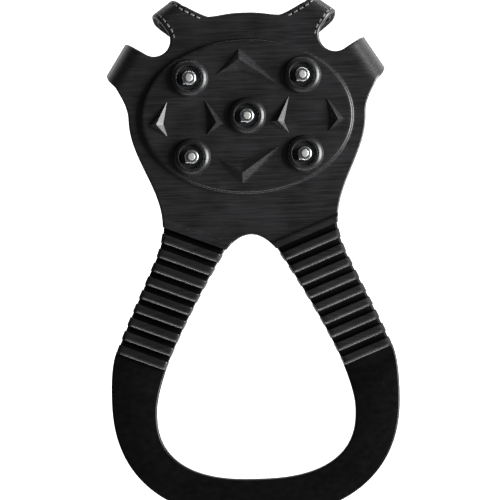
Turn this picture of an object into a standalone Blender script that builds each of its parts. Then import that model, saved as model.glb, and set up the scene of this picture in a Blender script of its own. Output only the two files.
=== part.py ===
"""Slip-on ice cleat for the heel of a shoe: one rubber moulding with five carbide-tipped steel spikes.

It lies on its back as it does on a table: the studs point up (+Z), the hooks are at the front (+Y),
and the loop that goes round the back of the shoe is at the rear (-Y). The moulding is cut where it
flexes, at the root of the ribbed straps and where they end at the loop. Lengths are in metres.
"""
import math

import bmesh
import bpy
from mathutils import Vector

# ---- fits ----
CLEARANCE = 0.0003            # between a steel piece and what it sits in
SEAT_GAP = 0.0002             # between two faces that bear on each other

# ---- heel plate ----
PLATE_THICKNESS = 0.0026
PLATE_EDGE = 0.0005           # rounding of the plate's edge on the stud side
FRONT_EDGE = 0.0292           # pad centre to the middle of the front edge
FRONT_DIP_X = 0.0087          # where the front edge dips before each hook
FRONT_DIP = 0.0013            # how far it dips
FRONT_SWEEP = 30.0            # degrees from +X, where the front edge meets the hook
SHOULDER_HALF_WIDTH = 0.0333
WAIST_HALF_WIDTH = 0.0246
WAIST_Y = -0.0300             # where the plate reaches its waist
HOLE_TOP_Y = -0.0329          # rear edge of the plate in the middle

# ---- hooks at the front corners: a strip curled away from the studs ----
HOOK_DIRECTION = 54.1         # degrees from +X
HOOK_WIDTH = 0.0073
HOOK_SHIFT = -0.00045         # middle of the strip from the line through the pad centre
HOOK_BEND_START = 0.0342
HOOK_RADIUS = 0.0043          # to the outer face of the curl
HOOK_TURN = 195.0             # degrees
HOOK_FLAP = 0.0032            # straight end after the curl
HOOK_SKEW = 0.23              # sideways run of the curl for each unit of depth
HOOK_FLARE = 0.0010           # how much wider the strip is at its root
HOOK_FLARE_END = 0.0013       # where the flare has run out, past the start of the bend
NOTCH_RADIUS = 0.0045         # round notch between hook and side tab

# ---- side tabs: bent up against the sides of the heel ----
TAB_DIRECTION = 32.5          # degrees from +X
TAB_WIDTH = 0.0110
TAB_FRONT = -0.0004           # front edge from the line through the pad centre
TAB_BEND_START = 0.0336
TAB_RADIUS = 0.0055
TAB_TURN = 75.0               # degrees
TAB_FLAP = 0.0038
TAB_FLARE = 0.0014            # how much wider the tab is at its root
TAB_FILLET_START = 0.0361     # where its lower edge begins to curve into the shoulder
TAB_FILLET_DROP = 0.42        # 1 turns the fillet early, 0 late
CORNER_RADIUS = 0.0007        # of hook and tab ends

# ---- raised oval, seat and moulded relief ----
OVAL_HALF_LENGTH = 0.0297
OVAL_HALF_WIDTH = 0.0216
OVAL_HEIGHT = 0.0012
OVAL_CHAMFER = 0.0006
SEAT_HALF_LENGTH = 0.0260
SEAT_HALF_WIDTH = 0.0190
SEAT_HEIGHT = 0.0004          # raised pad under the heel, on the shoe side
CHEVRON_HEIGHT = 0.0016
BOSS_RADIUS = 0.0054
BOSS_RIM_RADIUS = 0.0048
BOSS_RIM_WIDTH = 0.0005
BOSS_FOOT = 0.0005            # height of the upright wall below the boss's slope
BOSS_HEIGHT = 0.0016
DISH_RADIUS = 0.0034
DISH_HEIGHT = 0.0005          # floor of the dish above the oval

# Chevron corners from the pad centre, in metres: tip, tip, outer bend, ridge, inner bend.
SIDE_CHEVRON = ((0.0222, 0.0047), (0.0224, -0.0052), (0.0273, -0.0018), (0.0254, -0.0017),
                (0.0235, -0.0015))
INNER_CHEVRON = ((0.0119, 0.0052), (0.0116, -0.0051), (0.0066, -0.0018), (0.0086, -0.0016),
                 (0.0103, -0.0017))
END_CHEVRON = ((-0.0085, 0.0116), (0.0087, 0.0087), (-0.0018, 0.0189), (-0.0018, 0.0159),
               (-0.0018, 0.0128))

# ---- studs ----
STUD_X = 0.0158
STUD_Y = 0.0110
INSERT_FLANGE_RADIUS = 0.0040
INSERT_FLANGE_THICKNESS = 0.0009
INSERT_WALL = 0.0003
INSERT_FLOOR = 0.0005         # closed bottom of the insert
COLLAR_RADIUS = 0.0020
COLLAR_KEY = 0.0026           # reach of the collar's one square corner
COLLAR_KEY_ANGLE = 225.0      # degrees from +X, the same on all five
COLLAR_HEIGHT = 0.0018
COLLAR_CHAMFER = 0.0003
SHANK_RADIUS = 0.0010
SHANK_LENGTH = 0.0026
PIN_RADIUS = 0.00105
PIN_SOCKET_DEPTH = 0.0013
PIN_PROTRUSION = 0.0009
PIN_CHAMFER = 0.0003

# ---- ribbed straps ----
STRAP_ROOT_X = 0.0159         # middle of the strap at its root
STRAP_ROOT_Y = -0.0338
STRAP_SPLAY = 21.5            # degrees between the strap and -Y
RIB_COUNT = 9
RIB_PITCH = 0.00421
GROOVE_WIDTH = 0.0017
RIB_HEIGHT = 0.0033
WEB_THICKNESS = 0.0014
RIB_DRAFT = 0.0003            # slope of a rib's long walls
RIB_END_SLOPE = 0.0008        # slope of a rib's ends
RIB_OVERHANG = 0.00025        # how far a rib stands out past the web at the strap's edges
LIP_WIDTH = 0.0023            # raised lip where the plate ends
LIP_SETBACK = 0.0001          # of the lip from the plate's end
STRAP_ROOT_OUTER = 0.0081     # strap edges from its middle line
STRAP_END_OUTER = 0.0100
STRAP_ROOT_INNER = 0.0096
STRAP_END_INNER = 0.0050
INNER_CURVE = 1.6             # how early the inner edge draws in

# ---- plain loop ----
LOOP_THICKNESS = 0.0030
LOOP_EDGE = 0.0007
LOOP_HALF_WIDTH = 0.0407
LOOP_WIDEST_Y = -0.0785
LOOP_END_Y = -0.1132
LOOP_SHOULDER = 0.3           # 0 turns at the strap, 1 at the widest place
LOOP_ROUNDNESS = 2.35         # 2 is an ellipse, more is squarer
HOLE_HALF_WIDTH = 0.0280
HOLE_WIDEST_Y = -0.0830
HOLE_END_Y = -0.1022
HOLE_SHOULDER = 0.65
HOLE_ROUNDNESS = 2.5

# ---- flexing joints ----
ROOT_GAP = 0.0007             # cut in the first groove
LOOP_GAP = 0.0006             # cut behind the last rib

# ---- levels above the table ----
PLATE_TOP = 2 * HOOK_RADIUS
PLATE_BOTTOM = PLATE_TOP - PLATE_THICKNESS
SEAT_LEVEL = PLATE_BOTTOM - SEAT_HEIGHT
OVAL_TOP = PLATE_TOP + OVAL_HEIGHT
DISH_FLOOR = OVAL_TOP + DISH_HEIGHT
FLANGE_BOTTOM = SEAT_LEVEL + SEAT_GAP
FLANGE_TOP = FLANGE_BOTTOM + INSERT_FLANGE_THICKNESS
BARREL_TOP = DISH_FLOOR - SEAT_GAP
BORE_RADIUS = SHANK_RADIUS + CLEARANCE
BARREL_RADIUS = BORE_RADIUS + INSERT_WALL
COLLAR_BOTTOM = DISH_FLOOR + SEAT_GAP
COLLAR_TOP = COLLAR_BOTTOM + COLLAR_HEIGHT

STRAP_LENGTH = RIB_COUNT * RIB_PITCH
HINGE_CUT = STRAP_LENGTH + LOOP_GAP
SINK = 0.0005                 # how far a moulded feature reaches into what it grows from
SLICE_MERGE = 1e-7            # a cut this close to a corner runs through it

# ---- facets ----
HOOK_STEPS = 13
TAB_STEPS = 5
ROUND_SEGMENTS = 24
OVAL_SEGMENTS = 48
FRONT_STEPS = 3
SWEEP_STEPS = 5
NOTCH_STEPS = 9
FILLET_STEPS = 6
WAIST_STEPS = 8
HOLE_TOP_STEPS = 4
LOOP_SIDE_STEPS = 5
LOOP_END_STEPS = 12


def heading(degrees):
    """Unit vectors along a direction in the plane, and square to it on its right."""
    angle = math.radians(degrees)
    return Vector((math.cos(angle), math.sin(angle))), Vector((math.sin(angle), -math.cos(angle)))


HOOK_OUT, HOOK_SIDE = heading(HOOK_DIRECTION)
TAB_OUT, TAB_SIDE = heading(TAB_DIRECTION)
STRAP_ALONG, STRAP_INWARD = heading(STRAP_SPLAY - 90)
STRAP_OUTWARD = -STRAP_INWARD
STRAP_ROOT = Vector((STRAP_ROOT_X, STRAP_ROOT_Y))


def curl(out, side, depth, start, radius, turn_degrees, skew):
    """Where a point of the flat strip goes when the strip is curled round a cylinder."""
    if out <= start:
        return out, side, depth
    turn = math.radians(turn_degrees)
    angle = min((out - start) / radius, turn)
    straight = out - start - radius * angle
    new_out = start + (radius - depth) * math.sin(angle) + straight * math.cos(angle)
    new_depth = radius - (radius - depth) * math.cos(angle) + straight * math.sin(angle)
    return new_out, side + skew * (new_depth - depth), new_depth


def hook_top_reach():
    """How far the curled hook reaches in +Y, where its front edge turns over."""
    edge = HOOK_SHIFT - HOOK_WIDTH / 2
    reach = 0.0
    for step in range(HOOK_STEPS + 1):
        out = HOOK_BEND_START + HOOK_RADIUS * math.radians(HOOK_TURN) * step / HOOK_STEPS
        new_out, new_side, _ = curl(out, edge, 0.0, HOOK_BEND_START, HOOK_RADIUS, HOOK_TURN, HOOK_SKEW)
        reach = max(reach, (HOOK_OUT * new_out + HOOK_SIDE * new_side).y)
    return reach


# The origin lies on the table under the middle of the whole length.
PAD_Y = (-LOOP_END_Y - hook_top_reach()) / 2

STUD_PLACES = {
    "center": (0.0, 0.0),
    "front_left": (-STUD_X, STUD_Y),
    "front_right": (STUD_X, STUD_Y),
    "rear_left": (-STUD_X, -STUD_Y),
    "rear_right": (STUD_X, -STUD_Y),
}


# ---------------------------------------------------------------- scene helpers

def clear_scene():
    for item in list(bpy.data.objects):
        bpy.data.objects.remove(item, do_unlink=True)


def make_material(name, color, roughness, metallic):
    material = bpy.data.materials.new(name)
    material.use_nodes = True
    shader = material.node_tree.nodes["Principled BSDF"]
    shader.inputs["Base Color"].default_value = (*color, 1.0)
    shader.inputs["Roughness"].default_value = roughness
    shader.inputs["Metallic"].default_value = metallic
    material.diffuse_color = (*color, 1.0)
    return material


def add_object(name, bm, material=None, smooth_degrees=None):
    """A mesh object at the pad's centre, from a bmesh drawn about it."""
    bmesh.ops.recalc_face_normals(bm, faces=bm.faces)
    mesh = bpy.data.meshes.new(name)
    bm.to_mesh(mesh)
    bm.free()
    if smooth_degrees is not None:
        mesh.shade_smooth()
        mesh.set_sharp_from_angle(angle=math.radians(smooth_degrees))
    item = bpy.data.objects.new(name, mesh)
    bpy.context.scene.collection.objects.link(item)
    item.location = (0.0, PAD_Y, 0.0)
    if material is not None:
        mesh.materials.append(material)
    return item


def boolean(target, tool, operation):
    """Add or cut a guide shape, which stays in the file as a wire."""
    tool.hide_render = True
    tool.display_type = "WIRE"
    modifier = target.modifiers.new(tool.name, "BOOLEAN")
    modifier.operation = operation
    modifier.solver = "EXACT"
    modifier.object = tool


def turned(bm, profile, center, segments=ROUND_SEGMENTS, radius_rule=None):
    """A closed solid of revolution about the vertical through center, from (radius, z) points."""
    rings = []
    for radius, z in profile:
        if radius == 0.0:
            rings.append([bm.verts.new((center[0], center[1], z))])
            continue
        ring = []
        for step in range(segments):
            angle = 2 * math.pi * step / segments
            reach = radius if radius_rule is None else radius_rule(radius, angle)
            ring.append(bm.verts.new((center[0] + reach * math.cos(angle),
                                      center[1] + reach * math.sin(angle), z)))
        rings.append(ring)
    for lower, upper in zip(rings, rings[1:]):
        for step in range(segments):
            following = (step + 1) % segments
            if len(lower) == 1:
                bm.faces.new((lower[0], upper[step], upper[following]))
            elif len(upper) == 1:
                bm.faces.new((lower[step], lower[following], upper[0]))
            else:
                bm.faces.new((lower[step], lower[following], upper[following], upper[step]))


def loft(bm, sections):
    """A closed solid through equal rings of points, with flat ends."""
    rings = [[bm.verts.new(point) for point in section] for section in sections]
    count = len(rings[0])
    for near, far in zip(rings, rings[1:]):
        for step in range(count):
            following = (step + 1) % count
            bm.faces.new((near[step], near[following], far[following], far[step]))
    bm.faces.new(rings[0][::-1])
    bm.faces.new(rings[-1])


def bezier(start, control, end, steps):
    """Points of a quadratic curve, without its first point."""
    points = []
    for step in range(1, steps + 1):
        t = step / steps
        points.append(start * (1 - t) ** 2 + control * (2 * t * (1 - t)) + end * t ** 2)
    return points


def ease(t):
    """0 to 1 with a level start and end."""
    return 0.5 - 0.5 * math.cos(math.pi * t)


# ---------------------------------------------------------------- heel plate

def front_edge_points():
    points = [Vector((0.0, FRONT_EDGE))]
    for step in range(1, FRONT_STEPS + 1):
        t = step / FRONT_STEPS
        points.append(Vector((FRONT_DIP_X * t, FRONT_EDGE - FRONT_DIP * ease(t))))
    return points


def hook_strip_points():
    """The hook's outline while it is flat: up its front edge, round its end and back."""
    front = HOOK_SHIFT - HOOK_WIDTH / 2
    rear = HOOK_SHIFT + HOOK_WIDTH / 2
    end = HOOK_BEND_START + HOOK_RADIUS * math.radians(HOOK_TURN) + HOOK_FLAP
    quarter = HOOK_BEND_START + HOOK_RADIUS * math.pi / 2
    root = HOOK_BEND_START + HOOK_FLARE_END
    places = [(root, front - HOOK_FLARE), (quarter, front), (end - CORNER_RADIUS, front),
              (end, front + CORNER_RADIUS), (end, rear - CORNER_RADIUS), (end - CORNER_RADIUS, rear)]
    return [HOOK_OUT * out + HOOK_SIDE * side for out, side in places]


def notch_center():
    """The notch touches the hook's rear edge and the tab's front edge."""
    beside_hook = HOOK_SHIFT + HOOK_WIDTH / 2 + NOTCH_RADIUS
    beside_tab = TAB_FRONT - NOTCH_RADIUS
    determinant = HOOK_SIDE.x * TAB_SIDE.y - HOOK_SIDE.y * TAB_SIDE.x
    return Vector(((beside_hook * TAB_SIDE.y - HOOK_SIDE.y * beside_tab) / determinant,
                   (HOOK_SIDE.x * beside_tab - beside_hook * TAB_SIDE.x) / determinant))


def notch_points():
    center = notch_center()
    first = math.atan2(-HOOK_SIDE.y, -HOOK_SIDE.x)
    last = math.atan2(TAB_SIDE.y, TAB_SIDE.x) + 2 * math.pi
    points = []
    for step in range(NOTCH_STEPS + 1):
        angle = first + (last - first) * step / NOTCH_STEPS
        points.append(center + Vector((math.cos(angle), math.sin(angle))) * NOTCH_RADIUS)
    return points


def tab_points():
    """The tab's outline while it is flat, then the fillet into the shoulder."""
    rear = TAB_FRONT + TAB_WIDTH
    end = TAB_BEND_START + TAB_RADIUS * math.radians(TAB_TURN) + TAB_FLAP
    places = [(end - CORNER_RADIUS, TAB_FRONT), (end, TAB_FRONT + CORNER_RADIUS),
              (end, rear - CORNER_RADIUS), (end - CORNER_RADIUS, rear),
              (TAB_FILLET_START, rear + TAB_FLARE)]
    points = [TAB_OUT * out + TAB_SIDE * side for out, side in places]
    fillet_start = points[-1]
    shoulder = Vector((SHOULDER_HALF_WIDTH, 0.0))
    corner = Vector((SHOULDER_HALF_WIDTH, fillet_start.y * TAB_FILLET_DROP))
    return points + bezier(fillet_start, corner, shoulder, FILLET_STEPS)


def waist_points():
    points = []
    for step in range(1, WAIST_STEPS + 1):
        t = step / WAIST_STEPS
        width = SHOULDER_HALF_WIDTH + (WAIST_HALF_WIDTH - SHOULDER_HALF_WIDTH) * ease(t)
        points.append(Vector((width, WAIST_Y * t)))
    return points


def strap_inner(along):
    """The strap's inner edge from its middle line, at a distance from its root."""
    left = max(0.0, 1 - along / STRAP_LENGTH)
    return STRAP_END_INNER + (STRAP_ROOT_INNER - STRAP_END_INNER) * left ** INNER_CURVE


def strap_outer(along):
    t = min(1.0, max(0.0, along / STRAP_LENGTH))
    return STRAP_ROOT_OUTER + (STRAP_END_OUTER - STRAP_ROOT_OUTER) * t ** 2 * (3 - 2 * t)


def strap_point(along, outward):
    return STRAP_ROOT + STRAP_ALONG * along + STRAP_OUTWARD * outward


def rear_edge_points():
    """Along the strap's root, then over the top of the heel hole to the middle."""
    outer = strap_point(0.0, strap_outer(0.0))
    inner = strap_point(0.0, -strap_inner(0.0))
    points = [outer, inner]
    for step in range(1, HOLE_TOP_STEPS + 1):
        t = 1 - step / HOLE_TOP_STEPS
        points.append(Vector((inner.x * t, HOLE_TOP_Y + (inner.y - HOLE_TOP_Y) * t ** 2)))
    return points


def plate_outline():
    """The flat moulding's outline, all round, with the hooks and tabs laid out straight."""
    front = front_edge_points()
    hook = hook_strip_points()
    # The front edge leaves its dip level and runs into the hook's front edge.
    run = (hook[0].y - front[-1].y) / math.tan(math.radians(FRONT_SWEEP))
    corner = Vector((hook[0].x - run, front[-1].y))
    sweep = bezier(front[-1], corner, hook[0], SWEEP_STEPS)
    half = front + sweep + hook[1:] + notch_points() + tab_points() + waist_points() + rear_edge_points()
    mirrored = [Vector((-point.x, point.y)) for point in reversed(half[1:-1])]
    return half + mirrored


def at_strap_root(point):
    flat = Vector((abs(point.x), point.y)) - STRAP_ROOT
    return abs(STRAP_ALONG.dot(flat)) < LIP_SETBACK / 2


def extruded_plate(outline):
    """The flat plate with its stud-side edge rounded."""
    bm = bmesh.new()
    ring = [bm.verts.new((point.x, point.y, PLATE_BOTTOM)) for point in outline]
    base = bm.faces.new(ring)
    lifted = bmesh.ops.extrude_face_region(bm, geom=[base])["geom"]
    bmesh.ops.translate(bm, vec=(0, 0, PLATE_THICKNESS),
                        verts=[item for item in lifted if isinstance(item, bmesh.types.BMVert)])
    bmesh.ops.recalc_face_normals(bm, faces=bm.faces)
    top_edges = [edge for edge in bm.edges
                 if all(vert.co.z > (PLATE_TOP + PLATE_BOTTOM) / 2 for vert in edge.verts)
                 and not all(at_strap_root(vert.co) for vert in edge.verts)]
    bmesh.ops.bevel(bm, geom=top_edges, offset=PLATE_EDGE, segments=1, profile=0.5, affect="EDGES",
                    clamp_overlap=True)
    return bm


def slice_strip(bm, out, start, stop, steps, side, limits):
    """Cut a strip across at even steps, so that it can bend there."""
    direction = Vector((out.x * side, out.y, 0.0))
    across = Vector((out.y * side, -out.x, 0.0))
    for step in range(steps + 1):
        distance = start + (stop - start) * step / steps
        broad = sorted(bm.faces, key=lambda face: face.calc_area())[-2:]
        faces = [face for face in bm.faces
                 if face in broad or limits[0] < across.dot(face.calc_center_median()) < limits[1]]
        geometry = list({item for face in faces for item in (face, *face.edges, *face.verts)})
        bmesh.ops.bisect_plane(bm, geom=geometry, dist=SLICE_MERGE, plane_co=direction * distance,
                               plane_no=direction)


def bend_point(point):
    """Move a point of the flat moulding to its place on the curled hook or bent tab."""
    side_sign = -1.0 if point.x < 0 else 1.0
    flat = Vector((abs(point.x), point.y))
    depth = PLATE_TOP - point.z
    for out_axis, side_axis, start, radius, turn, skew, low, high in (
            (HOOK_OUT, HOOK_SIDE, HOOK_BEND_START, HOOK_RADIUS, HOOK_TURN, HOOK_SKEW,
             HOOK_SHIFT - HOOK_WIDTH, HOOK_SHIFT + HOOK_WIDTH),
            (TAB_OUT, TAB_SIDE, TAB_BEND_START, TAB_RADIUS, TAB_TURN, 0.0,
             TAB_FRONT - NOTCH_RADIUS / 2, TAB_FRONT + TAB_WIDTH + NOTCH_RADIUS)):
        out = out_axis.dot(flat)
        side = side_axis.dot(flat)
        if out > start and low < side < high:
            out, side, depth = curl(out, side, depth, start, radius, turn, skew)
            flat = out_axis * out + side_axis * side
            break
    return Vector((flat.x * side_sign, flat.y, PLATE_TOP - depth))


def hooked_plate():
    """The plate with its hooks curled and its tabs bent."""
    bm = extruded_plate(plate_outline())
    hook_stop = HOOK_BEND_START + HOOK_RADIUS * math.radians(HOOK_TURN)
    tab_stop = TAB_BEND_START + TAB_RADIUS * math.radians(TAB_TURN)
    for side in (-1, 1):
        slice_strip(bm, HOOK_OUT, HOOK_BEND_START, hook_stop, HOOK_STEPS, side,
                    (-2 * HOOK_WIDTH, 2 * HOOK_WIDTH))
        slice_strip(bm, TAB_OUT, TAB_BEND_START, tab_stop, TAB_STEPS, side, (-TAB_WIDTH, 2 * TAB_WIDTH))
    for vert in bm.verts:
        vert.co = bend_point(vert.co)
    bmesh.ops.triangulate(bm, faces=bm.faces)
    return bm


def root_lip(sign):
    """The raised lip along the root of a strap, as tall as the ribs that follow it."""
    outer = strap_point(0.0, strap_outer(0.0)).x - PLATE_EDGE
    inner = strap_point(0.0, -strap_inner(0.0)).x + PLATE_EDGE
    top = PLATE_BOTTOM + RIB_HEIGHT
    sections = []
    for x in (inner, outer):
        places = [(-LIP_SETBACK, PLATE_TOP - 2 * SINK), (-LIP_SETBACK, top - RIB_DRAFT),
                  (-LIP_SETBACK - RIB_DRAFT, top), (-LIP_WIDTH + RIB_DRAFT, top),
                  (-LIP_WIDTH, PLATE_TOP), (-LIP_WIDTH, PLATE_TOP - 2 * SINK)]
        section = []
        for along, z in places:
            outward = (x - STRAP_ROOT.x - STRAP_ALONG.x * along) / STRAP_OUTWARD.x
            section.append(Vector((sign * x, strap_point(along, outward).y, z)))
        sections.append(section)
    bm = bmesh.new()
    loft(bm, sections)
    return bm


def ellipse_pad(half_length, half_width, levels):
    """A raised oval from (inset, z) levels."""
    bm = bmesh.new()
    sections = []
    for inset, z in levels:
        section = []
        for step in range(OVAL_SEGMENTS):
            angle = 2 * math.pi * step / OVAL_SEGMENTS
            section.append(Vector(((half_length - inset) * math.cos(angle),
                                   (half_width - inset) * math.sin(angle), z)))
        sections.append(section)
    loft(bm, sections)
    return bm


def chevron(tip_a, tip_b, outer, ridge, inner):
    """A moulded dart: two sharp tips, and a ridge that rises to the bend between them."""
    bm = bmesh.new()
    low = OVAL_TOP - SINK
    plan = (tip_a, outer, tip_b, inner)
    base = [bm.verts.new((x, y, low)) for x, y in plan]
    rim = [bm.verts.new((x, y, OVAL_TOP)) for x, y in plan]
    crest = bm.verts.new((ridge[0], ridge[1], OVAL_TOP + CHEVRON_HEIGHT))
    for step in range(4):
        following = (step + 1) % 4
        bm.faces.new((base[step], base[following], rim[following], rim[step]))
        bm.faces.new((rim[step], rim[following], crest))
    bm.faces.new((base[0], base[1], base[3]))
    bm.faces.new((base[1], base[2], base[3]))
    return bm


def chevron_shapes():
    shapes = []
    for label, corners in (("side", SIDE_CHEVRON), ("inner", INNER_CHEVRON)):
        for hand, sign in (("left", -1), ("right", 1)):
            shapes.append((f"chevron_{label}_{hand}", [(sign * x, y) for x, y in corners]))
    for hand, sign in (("front", 1), ("rear", -1)):
        shapes.append((f"chevron_{hand}", [(x, sign * y) for x, y in END_CHEVRON]))
    return shapes


def stud_boss(place):
    """A round boss with a raised rim and a dish inside it."""
    bm = bmesh.new()
    rim = OVAL_TOP + BOSS_HEIGHT
    profile = [(0.0, OVAL_TOP - SINK), (BOSS_RADIUS, OVAL_TOP - SINK), (BOSS_RADIUS, OVAL_TOP + BOSS_FOOT),
               (BOSS_RIM_RADIUS, rim), (BOSS_RIM_RADIUS - BOSS_RIM_WIDTH, rim),
               (DISH_RADIUS, DISH_FLOOR), (0.0, DISH_FLOOR)]
    turned(bm, profile, place)
    return bm


def insert_pocket(place):
    """The stepped hole that a flanged insert fills."""
    bm = bmesh.new()
    wide = INSERT_FLANGE_RADIUS + CLEARANCE
    narrow = BARREL_RADIUS + CLEARANCE
    ceiling = FLANGE_TOP + SEAT_GAP
    above = OVAL_TOP + BOSS_HEIGHT + SINK
    profile = [(0.0, SEAT_LEVEL - SINK), (wide, SEAT_LEVEL - SINK), (wide, ceiling), (narrow, ceiling),
               (narrow, above), (0.0, above)]
    turned(bm, profile, place)
    return bm


def build_heel_plate(rubber):
    plate = add_object("heel_plate", hooked_plate(), rubber)
    oval_levels = [(0.0, PLATE_TOP - SINK), (0.0, OVAL_TOP - OVAL_CHAMFER), (OVAL_CHAMFER, OVAL_TOP)]
    boolean(plate, add_object("oval_form", ellipse_pad(OVAL_HALF_LENGTH, OVAL_HALF_WIDTH, oval_levels)),
            "UNION")
    seat_levels = [(0.0, SEAT_LEVEL), (0.0, PLATE_BOTTOM + SINK)]
    boolean(plate, add_object("seat_form", ellipse_pad(SEAT_HALF_LENGTH, SEAT_HALF_WIDTH, seat_levels)),
            "UNION")
    for hand, sign in (("left", -1), ("right", 1)):
        boolean(plate, add_object(f"lip_{hand}", root_lip(sign)), "UNION")
    for name, corners in chevron_shapes():
        boolean(plate, add_object(name, chevron(*corners)), "UNION")
    for label, place in STUD_PLACES.items():
        boolean(plate, add_object(f"boss_{label}", stud_boss(place)), "UNION")
    for label, place in STUD_PLACES.items():
        boolean(plate, add_object(f"pocket_{label}", insert_pocket(place)), "DIFFERENCE")
    return plate


# ---------------------------------------------------------------- studs

def keyed_circle(radius, angle):
    """The radius at an angle of a circle with one square corner, which keys the spike when it is set."""
    off_key = abs((angle - math.radians(COLLAR_KEY_ANGLE) + math.pi) % (2 * math.pi) - math.pi)
    if off_key > math.pi / 4:
        return radius
    reach = radius + COLLAR_KEY - COLLAR_RADIUS
    return max(radius, reach * math.sin(math.pi / 4) / math.sin(math.pi * 3 / 4 - off_key))


def build_insert(label, place, steel):
    """A flanged cup: the flange holds it in the rubber, and the spike is set into its bore."""
    bm = bmesh.new()
    profile = [(0.0, FLANGE_BOTTOM), (INSERT_FLANGE_RADIUS, FLANGE_BOTTOM),
               (INSERT_FLANGE_RADIUS, FLANGE_TOP), (BARREL_RADIUS, FLANGE_TOP),
               (BARREL_RADIUS, BARREL_TOP), (BORE_RADIUS, BARREL_TOP),
               (BORE_RADIUS, FLANGE_BOTTOM + INSERT_FLOOR), (0.0, FLANGE_BOTTOM + INSERT_FLOOR)]
    turned(bm, profile, place)
    return add_object(f"insert_{label}", bm, steel, 30)


def build_spike(label, place, steel):
    """The spike: a shank in the insert, and a keyed round collar with a socket for the pin."""
    bm = bmesh.new()
    socket_radius = PIN_RADIUS + CLEARANCE
    socket_floor = COLLAR_TOP - PIN_SOCKET_DEPTH
    shank_end = COLLAR_BOTTOM - SHANK_LENGTH
    profile = [(0.0, shank_end), (SHANK_RADIUS, shank_end), (SHANK_RADIUS, COLLAR_BOTTOM),
               (COLLAR_RADIUS, COLLAR_BOTTOM), (COLLAR_RADIUS, COLLAR_TOP - COLLAR_CHAMFER),
               (COLLAR_RADIUS - COLLAR_CHAMFER, COLLAR_TOP), (socket_radius, COLLAR_TOP),
               (socket_radius, socket_floor), (0.0, socket_floor)]

    def rule(radius, angle):
        return keyed_circle(radius, angle) if radius > socket_radius else radius

    turned(bm, profile, place, radius_rule=rule)
    return add_object(f"spike_{label}", bm, steel, 30)


def build_pin(label, place, carbide):
    """The hard tip, pressed into the spike."""
    bm = bmesh.new()
    foot = COLLAR_TOP - PIN_SOCKET_DEPTH + SEAT_GAP
    tip = COLLAR_TOP + PIN_PROTRUSION
    profile = [(0.0, foot), (PIN_RADIUS, foot), (PIN_RADIUS, tip - PIN_CHAMFER),
               (PIN_RADIUS - PIN_CHAMFER, tip), (0.0, tip)]
    turned(bm, profile, place)
    return add_object(f"pin_{label}", bm, carbide, 30)


# ---------------------------------------------------------------- ribbed straps

def strap_level(along):
    """Height of the strap's underside: it eases from the plate down to the table."""
    return PLATE_BOTTOM * (1 - ease(min(1.0, along / STRAP_LENGTH)))


def strap_section(along, height, inset, sign):
    """Six points across the strap: upright edges as tall as the web, then a rib's sloping ends."""
    low = strap_level(along)
    outer = strap_outer(along) - inset
    inner = -strap_inner(along) + inset
    shoulder = WEB_THICKNESS - RIB_OVERHANG
    slope = RIB_END_SLOPE if height > WEB_THICKNESS else RIB_OVERHANG
    places = [(outer, 0.0), (outer, shoulder), (outer - slope, height),
              (inner + slope, height), (inner, shoulder), (inner, 0.0)]
    section = []
    for outward, up in places:
        flat = strap_point(along, outward)
        section.append(Vector((sign * flat.x, flat.y, low + up)))
    return section


def build_strap(name, sign, rubber):
    """A rubber strap that stretches: thin webs between tall cross ribs."""
    sections = [strap_section(ROOT_GAP, WEB_THICKNESS, RIB_OVERHANG, sign)]
    for rib in range(RIB_COUNT):
        start = rib * RIB_PITCH + GROOVE_WIDTH
        end = (rib + 1) * RIB_PITCH
        sections.append(strap_section(start - RIB_DRAFT, WEB_THICKNESS, RIB_OVERHANG, sign))
        sections.append(strap_section(start, RIB_HEIGHT, 0.0, sign))
        sections.append(strap_section(end - RIB_DRAFT, RIB_HEIGHT, 0.0, sign))
        if rib < RIB_COUNT - 1:
            sections.append(strap_section(end, WEB_THICKNESS, RIB_OVERHANG, sign))
    bm = bmesh.new()
    loft(bm, sections)
    bmesh.ops.triangulate(bm, faces=bm.faces)
    return add_object(name, bm, rubber)


# ---------------------------------------------------------------- plain loop

def squared_ellipse(half_width, widest_y, end_y, roundness):
    """Points from the side of a squared ellipse down to its end on the middle line."""
    points = []
    for step in range(1, LOOP_END_STEPS + 1):
        angle = math.pi / 2 * step / LOOP_END_STEPS
        points.append(Vector((half_width * max(0.0, math.cos(angle)) ** (2 / roundness),
                              widest_y + (end_y - widest_y) * math.sin(angle) ** (2 / roundness))))
    return points


def loop_edges():
    """The outer and inner edge of the right half, from the strap to the middle of the loop."""
    outer_start = strap_point(HINGE_CUT, strap_outer(HINGE_CUT))
    inner_start = strap_point(HINGE_CUT, -strap_inner(HINGE_CUT))
    outer_side = Vector((LOOP_HALF_WIDTH, LOOP_WIDEST_Y))
    inner_side = Vector((HOLE_HALF_WIDTH, HOLE_WIDEST_Y))
    outer_corner = Vector((LOOP_HALF_WIDTH, outer_start.lerp(outer_side, LOOP_SHOULDER).y))
    inner_corner = Vector((HOLE_HALF_WIDTH, inner_start.lerp(inner_side, HOLE_SHOULDER).y))
    outer = [outer_start] + bezier(outer_start, outer_corner, outer_side, LOOP_SIDE_STEPS)
    inner = [inner_start] + bezier(inner_start, inner_corner, inner_side, LOOP_SIDE_STEPS)
    outer += squared_ellipse(LOOP_HALF_WIDTH, LOOP_WIDEST_Y, LOOP_END_Y, LOOP_ROUNDNESS)
    inner += squared_ellipse(HOLE_HALF_WIDTH, HOLE_WIDEST_Y, HOLE_END_Y, HOLE_ROUNDNESS)
    return outer, inner


def loop_section(outer, inner):
    """Eight points across the loop's band, with all four edges chamfered."""
    across = (outer - inner).normalized() * LOOP_EDGE
    places = [(outer - across, 0.0), (outer, LOOP_EDGE), (outer, LOOP_THICKNESS - LOOP_EDGE),
              (outer - across, LOOP_THICKNESS), (inner + across, LOOP_THICKNESS),
              (inner, LOOP_THICKNESS - LOOP_EDGE), (inner, LOOP_EDGE), (inner + across, 0.0)]
    return [Vector((flat.x, flat.y, z)) for flat, z in places]


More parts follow.
